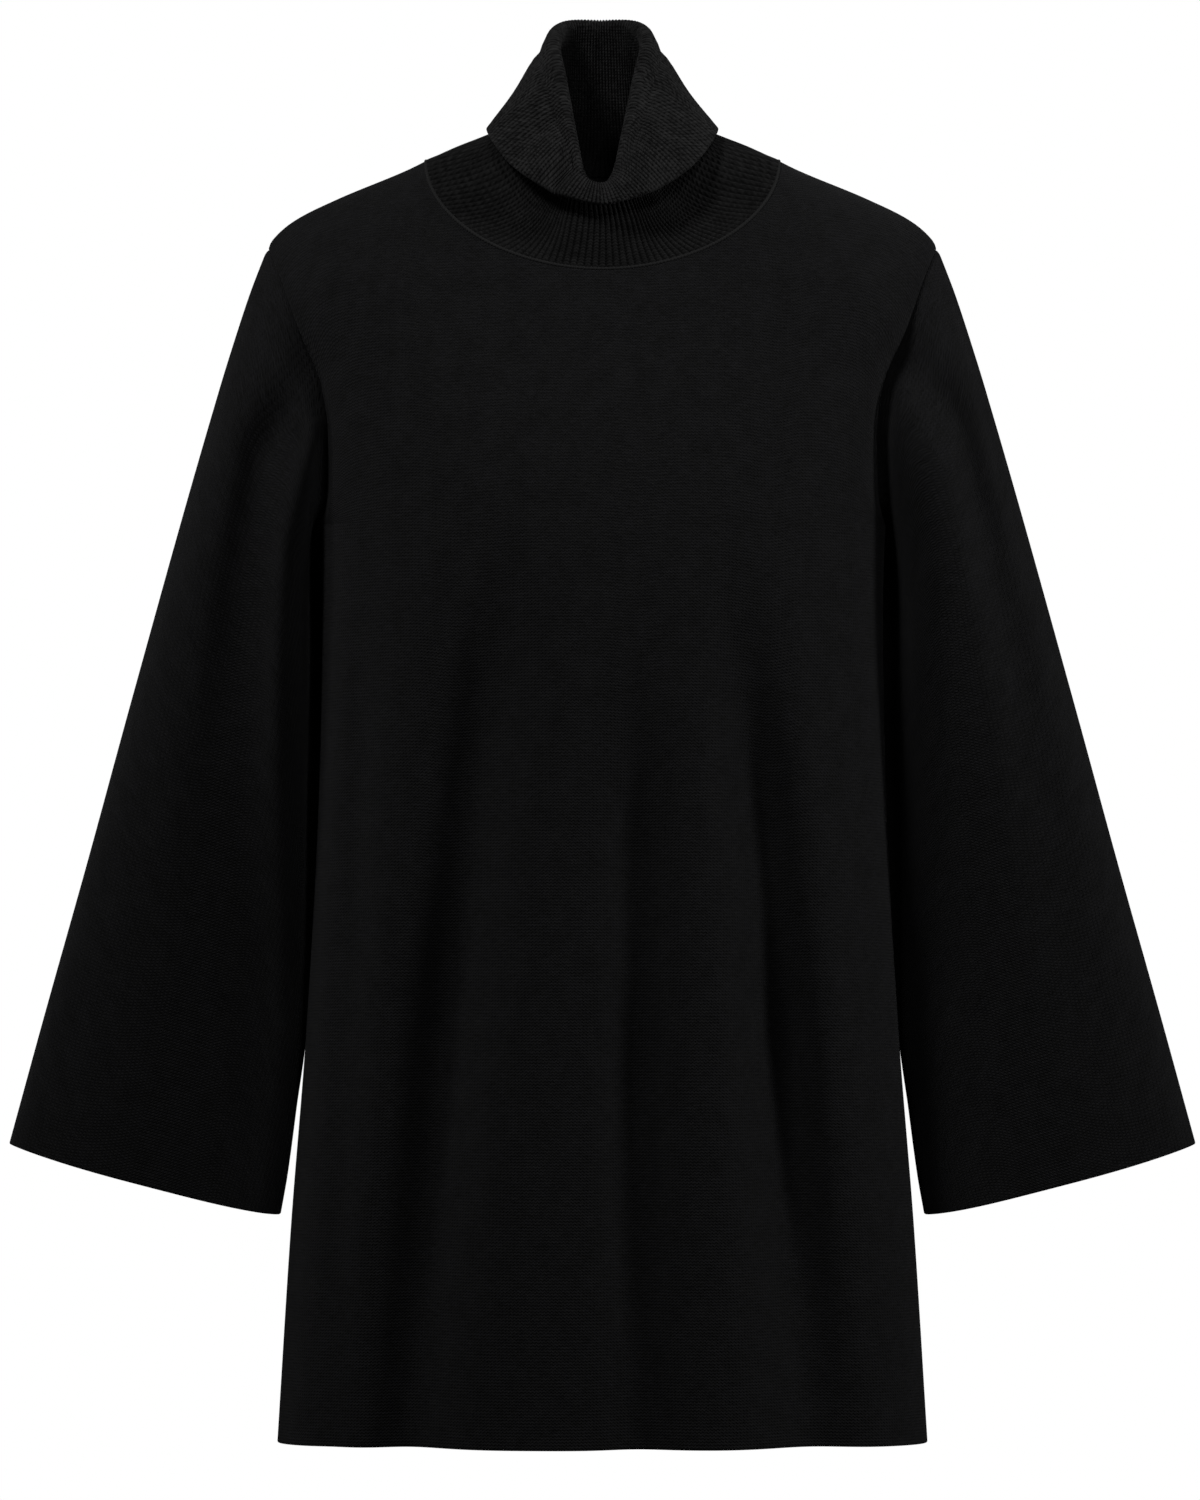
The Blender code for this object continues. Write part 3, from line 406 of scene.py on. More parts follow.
def panel_point(u, v, side):
    """The body's middle surface. u runs from -1 to 1 between the side seams, v from 0 at the hem
    through 1 at the underarm to 2 at the shoulder seam and neckline; side is -1 front, 1 back."""
    u, v = np.broadcast_arrays(np.asarray(u, float), np.asarray(v, float))
    across = np.abs(u)
    half_turn = math.pi / 2

    # The top edge: neckline, then shoulder seam
    to_shoulder = 1 - np.clip(across / NECK_SHARE, 0, 1)
    neck_angle = np.radians(neck_column_angle(across))
    neck_end_z = curve(NECK_HALF_WIDTH, SHOULDER["x"], SHOULDER["z"])
    drop = NECK_DROP_FRONT if side < 0 else NECK_DROP_BACK
    on_shoulder = np.clip((across - NECK_SHARE) / (1 - NECK_SHARE), 0, 1)
    point_x = ARMHOLE["x"][-1]
    top_x = np.where(
        across <= NECK_SHARE,
        NECK_HALF_WIDTH * np.sin(neck_angle),
        NECK_HALF_WIDTH + (point_x - NECK_HALF_WIDTH) * (1 - (1 - on_shoulder) ** SHOULDER_CROWDING),
    )
    top_z = np.where(
        across <= NECK_SHARE,
        neck_end_z - drop * np.cos(neck_angle),
        curve(top_x, SHOULDER["x"], SHOULDER["z"]),
    )

    # Height
    hem_z = HEM_Z + HEM_LIFT * (1 - across**3)
    rise = np.clip(v - 1, 0, 1)
    onto_neck = smooth(2 * to_shoulder)
    climb = (1 - np.cos(rise * math.pi)) / 2
    climb += onto_neck * (1 - np.cos(rise * half_turn) - climb)
    edge_climb = (1 - np.cos(rise * math.pi)) / 2
    z = np.where(
        v <= 1,
        hem_z + (UNDERARM_Z - hem_z) * np.clip(v, 0, 1),
        UNDERARM_Z + (top_z - UNDERARM_Z) * climb,
    )

    # Angle round the section: even spacing below, and above it follows neck, shoulder and armhole
    def angle_at(x, height):
        width = curve(height, BODY["z"], BODY["half_width"])
        return np.arcsin(np.clip(x / width, 0, 1) ** (SECTION_POWER / 2))

    plain = half_turn * across ** (SECTION_POWER / 2)
    top = angle_at(top_x, top_z)
    edge_z = UNDERARM_Z + (ARMHOLE["z"][-1] - UNDERARM_Z) * edge_climb
    edge_now = (1 - edge_climb) * half_turn + edge_climb * angle_at(point_x, ARMHOLE["z"][-1])
    edge_pull = angle_at(curve(edge_z, ARMHOLE["z"], ARMHOLE["x"]), edge_z) - edge_now
    near_edge = np.clip(1 - (1 - across) / EDGE_SHARE, 0, 1) ** 2
    near_corner = np.where(
        across < NECK_SHARE, (across / NECK_SHARE) ** 3, (1 - across) / (1 - NECK_SHARE)
    )
    fan = NECK_FAN * near_corner * np.sqrt(1 - edge_climb) * edge_climb**2
    angle = (1 - climb) * plain + climb * top + near_edge * edge_pull * (v > 1) + fan

    x = curve(z, BODY["z"], BODY["half_width"]) * np.sin(angle) ** (2 / SECTION_POWER)
    moved = curve(top_x, SHOULDER["x"], SHOULDER["z"]) - curve(x, SHOULDER["x"], SHOULDER["z"])
    z = z - moved * climb * np.clip(CORNER_EASE * near_corner, 0, 1) * (v > 1)
    x = np.sign(u) * x
    greatest, hollow = panel_depths(x, z, side)
    y = greatest * np.sqrt(np.clip(panel_swell(x, z), 0, 1)) - hollow
    return np.stack([x, side * y, z], axis=-1)


def panel_normal(points, side):
    """The way out of the cloth at points of a panel's middle surface."""

    def level(place):
        x, y, z = np.moveaxis(place, -1, 0)
        greatest, hollow = panel_depths(x, z, side)
        return ((side * y + hollow) / greatest) ** 2 - panel_swell(x, z)

    steps = np.eye(3) * STEP
    return unit(np.stack([level(points + d) - level(points - d) for d in steps], axis=-1))


# Seams


def mitre(first, second):
    """The direction of a seam's face between two pieces, lengthened so that neither wall thins."""
    middle = unit(first + second)
    return middle / np.clip(np.sum(middle * first, axis=-1, keepdims=True), MITRE_LIMIT, 1)


def armhole_stations():
    """v at each station of the armhole, underarm to shoulder point."""
    even = np.linspace(1, 2, YOKE_BANDS + 1)
    return np.sort(np.concatenate([even, 2 - np.array(NECK_ROWS)]))


def armhole_loop(hand):
    """Points round an armhole: up the front from the underarm, down the back. hand is 1 on the
    dress's own left and -1 on its right."""
    up = armhole_stations()
    front, back = panel_point(hand, up, -1), panel_point(hand, up, 1)
    points = np.concatenate([front, back[-2:0:-1]])
    points[[0, len(up) - 1], 1] = 0
    return points


# Sleeve


def sleeve_grid(shares, hand, loop):
    """The sleeve's middle surface: a row of points for each share, armhole to cuff."""
    length = np.linalg.norm(np.diff(np.concatenate([loop, loop[:1]]), axis=0), axis=1)
    walked = np.concatenate([[0], np.cumsum(length)[:-1]])
    shoulder = len(armhole_stations()) - 1
    half = walked[shoulder]
    front = np.arange(len(loop)) <= shoulder
    total = walked[-1] + length[-1]
    turn = np.where(front, walked / half, (total - walked) / (total - half)) * math.pi
    toward = np.where(front, -1.0, 1.0)

    def tube(share):
        outer_z = SLEEVE_OUTER["z"][-1] + (SLEEVE_OUTER["z"][0] - SLEEVE_OUTER["z"][-1]) * share
        outer_x = curve(outer_z, SLEEVE_OUTER["z"], SLEEVE_OUTER["x"])
        inner_x = curve(share, SLEEVE_INNER["share"], SLEEVE_INNER["x"])
        inner_z = curve(share, SLEEVE_INNER["share"], SLEEVE_INNER["z"])
        depth = curve(share, SLEEVE_DEPTH["share"], SLEEVE_DEPTH["depth"])
        wrap = curve(share, SLEEVE_DEPTH["share"], SLEEVE_DEPTH["wrap"])
        back = curve(share, SLEEVE_DEPTH["share"], SLEEVE_DEPTH["back"])
        section = np.where(front & (turn < math.pi / 2), INNER_POWER, SLEEVE_POWER)
        out = (1 - power(np.cos(turn), 2 / section)) / 2
        y = toward * depth * np.abs(np.sin(turn)) ** (2 / section)
        x = inner_x + (outer_x - inner_x) * out
        x = x - wrap * smooth(y / WRAP_HALF) * (1 - out) ** 2
        z = inner_z + (outer_z - inner_z) * out - CUFF_BOW * np.sin(turn) ** 2 * share**4
        return np.stack([hand * x, y + back * (1 - out), z], axis=-1)

    rows = []
    start = tube(0.0)
    for share in shares:
        row = tube(share) + (loop - start) * (1 - smooth(share / SETTLE_SHARE))
        row[:, 1] -= toward * sleeve_fold(hand, share, turn, front) * np.sin(turn) ** 2
        rows.append(row)
    return np.array(rows)


def sleeve_fold(hand, share, turn, front):
    """How far the sleeve's long fold pushes the cloth in; below 0 where it stands out as a crest."""
    fold = SLEEVE_FOLDS[hand]
    crest, hollow, depth = [
        curve(share, fold["share"], fold[name]) for name in ("crest", "hollow", "depth")
    ]
    away = np.degrees(turn) - np.where(front, 0, BACK_FOLD_TURN)
    turn_between = hollow - crest
    sunk = np.exp(-(((away - hollow) / (FOLD_SPREAD * turn_between)) ** 2))
    raised = np.exp(-(((away - crest) / (CREST_SPREAD * turn_between)) ** 2))
    return depth * np.where(front, 1, BACK_FOLD_SHARE) * (sunk - CREST_HEIGHT * raised)


# Collar


def ring(angle, name, loop):
    """A column of a collar table read at an angle on either side, in degrees."""
    sign = -1 if name == "x" else 1
    knots, values = loop["angle"], loop[name]
    knots = np.concatenate([knots[1:] - 360, -knots[:0:-1], knots, 360 - knots[-2::-1]])
    values = np.concatenate([values[1:], sign * values[:0:-1], values, sign * values[-2::-1]])
    knots, first = np.unique(knots, return_index=True)
    values = values[first]
    span = np.diff(knots)
    rise = np.diff(values) / span
    middle = (rise[:-1] * span[1:] + rise[1:] * span[:-1]) / (span[1:] + span[:-1])
    return through(angle, knots, values, np.concatenate([rise[:1], middle, rise[-1:]]))


def collar_loop(angle, loop):
    """Points of the collar's roll or edge at angles in degrees."""
    return np.stack([ring(angle, name, loop) for name in ("x", "y", "z")], axis=-1)


def neck_column_angle(u):
    """Degrees round the neck from centre front at a front panel's columns."""
    to_shoulder = 1 - np.clip(np.abs(u) / NECK_SHARE, 0, 1)
    return np.sign(u) * 90 * (1 - to_shoulder**NECK_CROWDING)


def neck_stations():
    """The neckline's angles, points and cloth normals at the panels' own columns."""
    u = np.linspace(-NECK_SHARE, NECK_SHARE, round(PANEL_COLUMNS * NECK_SHARE) + 1)
    ends = neck_column_angle(u)
    angles = np.concatenate([ends, 180 - ends[-2::-1]])
    front, back = panel_point(u, 2.0, -1), panel_point(u, 2.0, 1)
    points = np.concatenate([front, back[-2::-1]])
    normals = np.concatenate([panel_normal(front, -1), panel_normal(back, 1)[-2::-1]])
    normals[[0, len(front) - 1, -1], 1] = 0
    return angles, points, unit(normals)


def between_stations(angle, stations, values):
    """Values at any angle round the neck, along the straight edges between its stations."""
    wrapped = np.where(angle < -90, angle + 360, angle)
    return np.stack([np.interp(wrapped, stations, values[:, i]) for i in range(3)], axis=-1)


def neck_points(angle):
    """Points of the neckline at angles in degrees."""
    stations, points, _ = neck_stations()
    return between_stations(angle, stations, points)


def bump(at, place):
    """The depth of a soft dent at an angle, or at another measure that its place is given in."""
    return place["depth"] * np.exp(-(((at - place["angle"]) / place["spread"]) ** 2))


# Rows of the collar's wall, seam to loose edge: which stretch, and how far along it.
SEAM_ROWS = (0.0, 0.006, 0.02, 0.045)
EDGE_ROWS = (0.98, 0.991, 0.997, 1.0)
COLLAR_ROWS = (
    [("flare", t) for t in SEAM_ROWS + tuple(np.linspace(0.1, 1, 11))]
    + [("stand", t) for t in np.linspace(0, 1, 12)[1:]]
    + [("roll", t) for t in np.linspace(0, 1, 9)[1:-1]]
    + [("turn", t) for t in tuple(np.linspace(0, 0.95, 14)) + EDGE_ROWS]
)


def collar_rows(angle):
    """The collar's middle surface, one row for each of COLLAR_ROWS."""
    seam = neck_points(angle)
    roll = collar_loop(angle, COLLAR_ROLL)
    edge = collar_loop(angle, COLLAR_EDGE)
    roll[:, 0] += LEAN * (3 + np.cos(np.radians(angle))) / 4
    along = collar_loop(angle + ROUND_STEP, COLLAR_ROLL) - collar_loop(angle - ROUND_STEP, COLLAR_ROLL)
    up = unit(roll - edge)
    out = unit(np.cross(along, up))
    up = unit(np.cross(out, along))
    stand_off = ring(angle, "stand_off", COLLAR_LAYERS) + bump(angle, STAND_DENT)
    turn_bow = ring(angle, "turn_bow", COLLAR_LAYERS)
    turn_bow = turn_bow - bump(angle, TURN_CREASE) - bump(angle, TURN_DENT)
    flare_bow = ring(angle, "flare_bow", COLLAR_LAYERS)
    knee = edge - out * stand_off[:, None]
    knee += up * ring(angle, "knee_up", COLLAR_LAYERS)[:, None]
    inner = roll - out * ROLL_RADIUS
    outer = roll + out * ROLL_RADIUS
    knee_slope = unit(inner - seam) * np.linalg.norm(inner - knee, axis=1, keepdims=True)
    rows = []
    for stretch, t in COLLAR_ROWS:
        if stretch == "flare":
            slope = knee_slope * (
                np.linalg.norm(knee - seam, axis=1, keepdims=True)
                / np.linalg.norm(knee_slope, axis=1, keepdims=True)
            )
            lift = unit(np.cross(along, knee - seam)) * (flare_bow * 4 * t * (1 - t))[:, None]
            rows.append(hermite(seam, (knee - seam) * FLARE_PULL, knee, slope, t) + lift)
        elif stretch == "stand":
            reach = np.linalg.norm(inner - knee, axis=1, keepdims=True)
            rows.append(hermite(knee, knee_slope, inner, up * reach, t))
        elif stretch == "roll":
            a = math.pi * t
            rows.append(roll + ROLL_RADIUS * (up * math.sin(a) - out * math.cos(a)))
        else:
            bow = turn_bow * 4 * t * (1 - t) - bump(t, RIM_GROOVE)
            rows.append(outer + (edge - outer) * t + out * bow[:, None])
    return np.array(rows)


def collar_normals(rows, spacing):
    """Normals that point to the knit's right side: out on the stand, in on the turned-down half."""
    along = np.roll(rows, -spacing, axis=1) - np.roll(rows, spacing, axis=1)
    up = np.gradient(rows, axis=0)
    return unit(np.cross(along, up))


def sleeve_normals(grid, hand):
    """The way out of the cloth at a sleeve's middle points."""
    around = np.roll(grid, -1, axis=1) - np.roll(grid, 1, axis=1)
    down = np.gradient(grid, axis=0)
    return unit(np.cross(down, around)) * hand


def neck_face(angle):
    """The way out of the neck seam, midway between the body's and the collar's."""
    stations, points, body_out = neck_stations()
    rows = collar_rows(np.where(stations > 180, stations - 360, stations))
    leaving = unit(rows[1] - rows[0])
    along = np.roll(points, -1, axis=0) - np.roll(points, 1, axis=0)
    along[0] = along[-1] = points[1] - points[-2]
    face = mitre(body_out, unit(np.cross(along, leaving)))
    face[-1] = face[0]
    return between_stations(angle, stations, face)


# Shells of cloth


def walk(grid, axis):
    """Distance from the first row or column along a grid of points."""
    step = np.linalg.norm(np.diff(grid, axis=axis), axis=-1)
    return np.concatenate([np.zeros_like(step.take([0], axis)), np.cumsum(step, axis=axis)], axis=axis)


def from_ends(grid, axis):
    """Distance to the nearer end of a grid of points."""
    gone = walk(grid, axis)
    return np.minimum(gone, gone.take([-1], axis) - gone)


def rolled_half(distance, thickness):
    """Half the cloth's thickness, rounded down to nothing at an edge."""
    half = thickness / 2
    return half * np.sqrt(1 - (1 - np.clip(distance / half, 0, 1)) ** 2)


def knit_map(grid, closed, start):
    """Where the wales and courses run, in metres: along each row from its start column, and down the
    columns. A closed grid gets one more column, so that its last stitches end at the seam."""
    if closed:
        grid = np.concatenate([grid, grid[:, :1]], axis=1)
    along = walk(grid * (1, 1, 0), 1)
    up = walk(grid * (0, 1, 1), 0)
    return np.stack([along - along[:, start : start + 1], up], axis=-1)


def quads(index, closed):
    """Four-cornered faces over a grid of vertex numbers, and each corner's row and column."""
    rows, columns = index.shape
    i, j = np.mgrid[0 : rows - 1, 0 : columns if closed else columns - 1]
    i, j = i.ravel(), j.ravel()
    row = np.stack([i, i, i + 1, i + 1], axis=1)
    column = np.stack([j, j + 1, j + 1, j], axis=1)
    return index[row, column % columns], row, column


def put(name, data):
    """A new object in the scene."""
    obj = bpy.data.objects.new(name, data)
    bpy.context.scene.collection.objects.link(obj)
    return obj


def shell(name, middle, out, half, closed, placing, material):
    """A closed thin shell of cloth round a grid of middle points. half is the step to its right side
    and to its wrong side, nothing at its free edges, where both sides share their points."""
    rows, columns = middle.shape[:2]
    right = np.arange(rows * columns).reshape(rows, columns)
    wrong = right + rows * columns
    wrong[[0, -1]] = right[[0, -1]]
    if not closed:
        wrong[:, [0, -1]] = right[:, [0, -1]]
    points = [middle + out * half[..., None], middle - out * half[..., None]]
    points = np.concatenate([side.reshape(-1, 3) for side in points])
    faces, places = [], []
    for index, flip in ((right, False), (wrong, True)):
        face, row, column = quads(index, closed)
        step = -1 if flip else 1
        faces.append(face[:, ::step])
        places.append(placing[row[:, ::step], column[:, ::step]])
    faces, places = np.concatenate(faces), np.concatenate(places)
    a, b, c = points[faces[0, :3]]
    if np.dot(np.cross(b - a, c - b), out[0, 0]) < 0:
        faces, places = faces[:, ::-1], places[:, ::-1]
    used, faces = np.unique(faces, return_inverse=True)
    mesh = bpy.data.meshes.new(name)
    mesh.from_pydata(points[used].tolist(), [], faces.reshape(-1, 4).tolist())
    mesh.uv_layers.new(name=KNIT_MAP).uv.foreach_set("vector", places.reshape(-1).astype(np.float32))
    mesh.materials.append(material)
    mesh.shade_smooth()
    return put(name, mesh)


def drawn_in(distance, end):
    """How far cloth moves towards mid-side near an armhole seam, whose own points are the ends."""
    reach = smooth((CREVICE_TOP - end[..., 2]) / CREVICE_FADE)
    return CREVICE * end[..., 1] * reach * np.exp(-((distance / CREVICE_HALF) ** 2))


def sunk(distance):
    """How much lower the cloth sits at a distance from a seam."""
    return SEAM_SINK * np.exp(-((distance / SEAM_HALF) ** 2))


def cloth_area(grid, closed):
    """The area of a grid of middle points."""
    if closed:
        grid = np.concatenate([grid, grid[:, :1]], axis=1)
    one = np.cross(grid[:-1, 1:] - grid[:-1, :-1], grid[1:, :-1] - grid[:-1, :-1])
    other = np.cross(grid[:-1, 1:] - grid[1:, 1:], grid[1:, :-1] - grid[1:, 1:])
    return float((np.linalg.norm(one, axis=-1) + np.linalg.norm(other, axis=-1)).sum() / 2)


# Pieces


def crowded(count, length, low=True, high=True):
    """Even steps from 0 to 1 along a length in metres, with ROLLED's rows at its low and high ends."""
    even = np.linspace(0, 1, count + 1)
    beside = np.array(ROLLED) / length
    even = even[(even > beside[-1]) | (not low)]
    even = even[(even < 1 - beside[-1]) | (not high)]
    ends = [[0.0], beside] if low else []
    ends += [1 - beside, [1.0]] if high else []
    return np.unique(np.concatenate([even, *ends]))


def body_panel(name, side):
    """Front or back of the body."""
    to_side = crowded(PANEL_COLUMNS // 2, HALF_PANEL, low=False)
    u = np.concatenate([-to_side[:0:-1], to_side])
    v = np.concatenate([crowded(BODY_BANDS, BELOW_ARMS, high=False)[:-1], armhole_stations()])
    grid_u, grid_v = np.meshgrid(u, v)
    middle = panel_point(grid_u, grid_v, side)
    out = panel_normal(middle, side)
    distance = np.minimum(from_ends(middle, 0), from_ends(middle, 1))
    half = rolled_half(distance, CLOTH)
    placing = knit_map(middle, False, len(u) // 2)
    gone, left = walk(middle, 1), walk(middle[:, ::-1], 1)[:, ::-1]
    drawn = drawn_in(gone, middle[:, :1]) + drawn_in(left, middle[:, -1:])
    upper = (grid_v > 1) * smooth((grid_v - 1) * YOKE_BANDS / SEAM_ONSET)
    down = walk(middle[::-1], 0)[::-1]
    beside = np.where(np.abs(grid_u) > NECK_SHARE, np.minimum(from_ends(middle, 1), down), NO_SEAM)
    middle = middle - out * (upper * sunk(beside))[..., None]
    middle[..., 1] -= drawn * upper
    piece = shell(name, middle, out, half, False, placing, JERSEY)
    return piece, cloth_area(middle, False)


def sleeve(name, hand):
    """One sleeve, armhole to cuff."""
    middle = sleeve_grid(crowded(SLEEVE_BANDS, SLEEVE_LENGTH), hand, armhole_loop(hand))
    out = sleeve_normals(middle, hand)
    half = rolled_half(from_ends(middle, 0), CLOTH)
    placing = knit_map(middle, True, len(armhole_stations()) - 1)
    gone = walk(middle, 0)
    drawn = drawn_in(gone, middle[:1])
    middle = middle - out * sunk(gone)[..., None]
    middle[..., 1] -= drawn
    piece = shell(name, middle, out, half, True, placing, JERSEY)
    return piece, cloth_area(middle, True)


def roll_collar(name):
    """The ribbed collar."""
    columns = RIBS * RIB_COLUMNS
    angle = -180 + 360 * np.arange(columns) / columns
    middle = collar_rows(angle)
    out = collar_normals(middle, columns // PLAIN_COLUMNS)
    half = rolled_half(from_ends(middle, 0), RIB_CLOTH)
    crest = (1 + np.cos(2 * math.pi * np.arange(columns) / RIB_COLUMNS)) / 2
    rib = RIB_RISE * np.clip(crest, 0, 1) ** RIB_ROUNDING * half / (RIB_CLOTH / 2)
    placing = knit_map(middle, True, columns // 2)
    placing[..., 0] = RIB_WIDTH * np.arange(columns + 1) / RIB_COLUMNS
    piece = shell(name, middle, out, half + rib, True, placing, RIB)
    return piece, cloth_area(middle, True)


def linking_chain(name):
    """The chain of linking stitches that stands up along the neck seam."""
    count = CHAIN_STITCHES * STITCH_COLUMNS
    angle = -180 + 360 * np.arange(count) / count
    face = neck_face(angle)
    centre = neck_points(angle) + unit(face) * CLOTH * CHAIN_SEAT
    along = unit(np.roll(centre, -1, axis=0) - np.roll(centre, 1, axis=0))
    across = unit(np.cross(along, face))
    up = np.cross(across, along)
    turn = np.linspace(0, 2 * math.pi, CHAIN_SIDES + 1)[:-1]
    swell = LINKING_YARN * (1 + STITCH_SWELL * np.cos(2 * math.pi * np.arange(count) / STITCH_COLUMNS))
    outward = np.cos(turn)[:, None, None] * up + np.sin(turn)[:, None, None] * across
    tube = (centre + outward * swell[:, None]).transpose(1, 0, 2)
    index = np.arange(tube.shape[0] * tube.shape[1]).reshape(tube.shape[:2])
    index = np.concatenate([index, index[:1]])
    faces = quads(index, True)[0]
    mesh = bpy.data.meshes.new(name)
    mesh.from_pydata(tube.reshape(-1, 3).tolist(), [], faces.tolist())
    mesh.materials.append(YARN)
    mesh.shade_smooth()
    return put(name, mesh)


# Materials

KNIT_MAP = "knit"  # the map that lays wales and courses on the cloth, in metres
LEG_LEAN = 0.8  # how steeply a stitch's two legs lean together
GROOVE_SHARE = 0.8  # depth of the groove between wales, as a share of a leg's height
STREAK = (0.0070, 0.0013, 2.0)  # metres across and up the cloth, and detail: yarn uneven along a row
LINT = (0.0014, 0.0014, 2.0)  # the same for loose fibres
MOTTLE = (0.0160, 0.0160, 1.0)  # and for a slow mottle
STREAK_SHARE = 0.45  # how much each counts in the yarn's shade
LINT_SHARE = 0.35
MOTTLE_SHARE = 0.20
STITCH_SHADE_SHARE = 0.025  # and how much a stitch's own height does: painted shade, darker in its low parts and grooves
RIDGE_TOP = 0.1  # the painted channel shade leaves a rib no lighter above this, where 1 is its crest and -1 the channel beside it
DARK_END = 0.38  # the mix of all these at which the yarn's dark shade is reached
LIGHT_END = 0.64  # and its light one
FLARE_SHADOW_FULL = 0.025  # metres from its seam to which the painted shadow on the collar's flare is at full strength
FLARE_SHADOW_END = 0.060  # and from which there is no painted shadow
LINT_HEIGHT = 1.5  # how far loose fibres stand up, as a share of a leg's height
RELIEF = 0.7  # strength of the bump
MATT = 0.85
SPECULAR = 0.05
SHEEN_MATT = 0.5
SHEEN_TINT = "#8c8c8e"


def srgb(code):
    """An sRGB hex colour as linear numbers with alpha."""
    parts = [int(code[i : i + 2], 16) / 255 for i in (1, 3, 5)]
    return (*[p / 12.92 if p <= 0.04045 else ((p + 0.055) / 1.055) ** 2.4 for p in parts], 1.0)


def add(tree, kind, settings=(), sockets=()):
    """Adds a node to a tree. settings are its own properties, sockets its inputs by name or number:
    an output links, anything else is a value. Returns the node."""
    made = tree.nodes.new("ShaderNode" + kind)
    for name, value in dict(settings).items():
        setattr(made, name, value)
    for name, value in dict(sockets).items():
        if isinstance(value, bpy.types.NodeSocket):
            tree.links.new(value, made.inputs[name])
        else:
            made.inputs[name].default_value = value
    return made


def knit(name, dark, light, wale, course, depth, sheen, channel_shade=0.0, flare_shadow=0.0):
    """Matt black knit. dark and light are the yarn's two shades, wale and course the width and height
    of a stitch, depth how far its legs stand up and sheen how much its loose fibres catch the light.
    furrow paints shade into the channels between ribs, and pulled paints a shadow onto the cloth beside the
    seam that it starts at."""
    material = bpy.data.materials.new(name)
    material.use_nodes = True
    tree = material.node_tree
    shader = tree.nodes["Principled BSDF"]
    place = add(tree, "UVMap", {"uv_map": KNIT_MAP}).outputs[0]
    split = add(tree, "SeparateXYZ", {}, {0: place})

    def maths(operation, *values):
        return add(tree, "Math", {"operation": operation}, dict(enumerate(values))).outputs[0]

    def spread(value, start, end, least):
        """least up to start, rising to 1 at end."""
        between = {"Value": value, "From Min": start, "From Max": end, "To Min": least}
        return add(tree, "MapRange", {}, between).outputs[0]

    def noise(across, up, detail):
        fine = add(tree, "Mapping", {}, {"Vector": place, "Scale": (1 / across, 1 / up, 1.0)}).outputs[0]
        return add(tree, "TexNoise", {}, {"Vector": fine, "Scale": 1.0, "Detail": detail}).outputs[0]

    # Stitches: two legs that lean together in each wale, and a groove between wales
    leg = maths("PINGPONG", split.outputs[0], wale / 2)
    lean = maths("MULTIPLY_ADD", leg, LEG_LEAN, split.outputs[1])
    wave = maths("SINE", maths("MULTIPLY", lean, 2 * math.pi / course))
    groove = maths("SINE", maths("MULTIPLY", leg, math.pi / wale))
    height = maths("MULTIPLY_ADD", groove, GROOVE_SHARE, wave)

    # Yarn that varies along its rows, loose fibres and a slow mottle
    streak, lint, mottle = noise(*STREAK), noise(*LINT), noise(*MOTTLE)
    mixed = maths("ADD", maths("MULTIPLY", streak, STREAK_SHARE), maths("MULTIPLY", lint, LINT_SHARE))
    mixed = maths("MULTIPLY_ADD", mottle, MOTTLE_SHARE, mixed)
    # Painted shade: the low parts and grooves of each stitch are darker
    mixed = maths("MULTIPLY_ADD", height, STITCH_SHADE_SHARE, mixed)
    # Painted shade in the channels between ribs
    if channel_shade:
        ridge = maths("COSINE", maths("MULTIPLY", split.outputs[0], 2 * math.pi / wale))
        mixed = maths("MULTIPLY_ADD", maths("MINIMUM", ridge, RIDGE_TOP), channel_shade, mixed)
    shade = spread(mixed, DARK_END, LIGHT_END, 0.0)
    # Painted shadow of the turned-down half on the flare, darkest beside the neck seam
    if flare_shadow:
        shade = maths("MULTIPLY", shade, spread(split.outputs[1], FLARE_SHADOW_FULL, FLARE_SHADOW_END, 1 - flare_shadow))
    colour = add(
        tree, "Mix", {"data_type": "RGBA"}, {"Factor": shade, 6: srgb(dark), 7: srgb(light)}
    ).outputs[2]
    rough = maths("MULTIPLY_ADD", lint, LINT_HEIGHT, height)
    relief = add(tree, "Bump", {}, {"Height": rough, "Distance": depth, "Strength": RELIEF}).outputs[0]
    tree.links.new(colour, shader.inputs["Base Color"])
    tree.links.new(relief, shader.inputs["Normal"])
    shader.inputs["Roughness"].default_value = MATT
    shader.inputs["Specular IOR Level"].default_value = SPECULAR
    shader.inputs["Sheen Weight"].default_value = sheen
    shader.inputs["Sheen Roughness"].default_value = SHEEN_MATT
    shader.inputs["Sheen Tint"].default_value = srgb(SHEEN_TINT)
    return material


WALE = 0.0024  # a fine jersey's are 1.3 mm wide and 1.1 mm high, too fine to show
COURSE = 0.0020
RIB_WIDTH = 0.0030  # the same for every rib, which on the cloth itself are narrower at the throat
LINKING_STITCH = 0.0011
STITCH_DEPTH = 0.00025  # how far a stitch's legs stand up
LINKING_DEPTH = 0.0001
BLOOM = 0.08  # sheen of black yarn

# Fine-gauge viscose and wool jersey, dyed black: matt, with a faint bloom where it turns away.
JERSEY = knit("black_fine_jersey", "#0b0b0b", "#161617", WALE, COURSE, STITCH_DEPTH, BLOOM)
# The same yarn in one by one rib: the ribs themselves are modelled, stitches run up each. The channels get
# painted shade, and the flare beside the neck seam gets a painted shadow of the turned-down half above it.
RIB = knit(
    "black_one_by_one_rib",
    "#070707",
    # lighter than the jersey's light shade: painted sheen for the light that the ribs catch
    "#262626",
    RIB_WIDTH,
    COURSE,
    STITCH_DEPTH,
    BLOOM,
    channel_shade=0.15,
    flare_shadow=0.6,
)
# Linking yarn, twisted harder, so it is a little lighter.
YARN = knit(
    "black_linking_yarn", "#161616", "#242424", LINKING_STITCH, LINKING_STITCH, LINKING_DEPTH, BLOOM
)

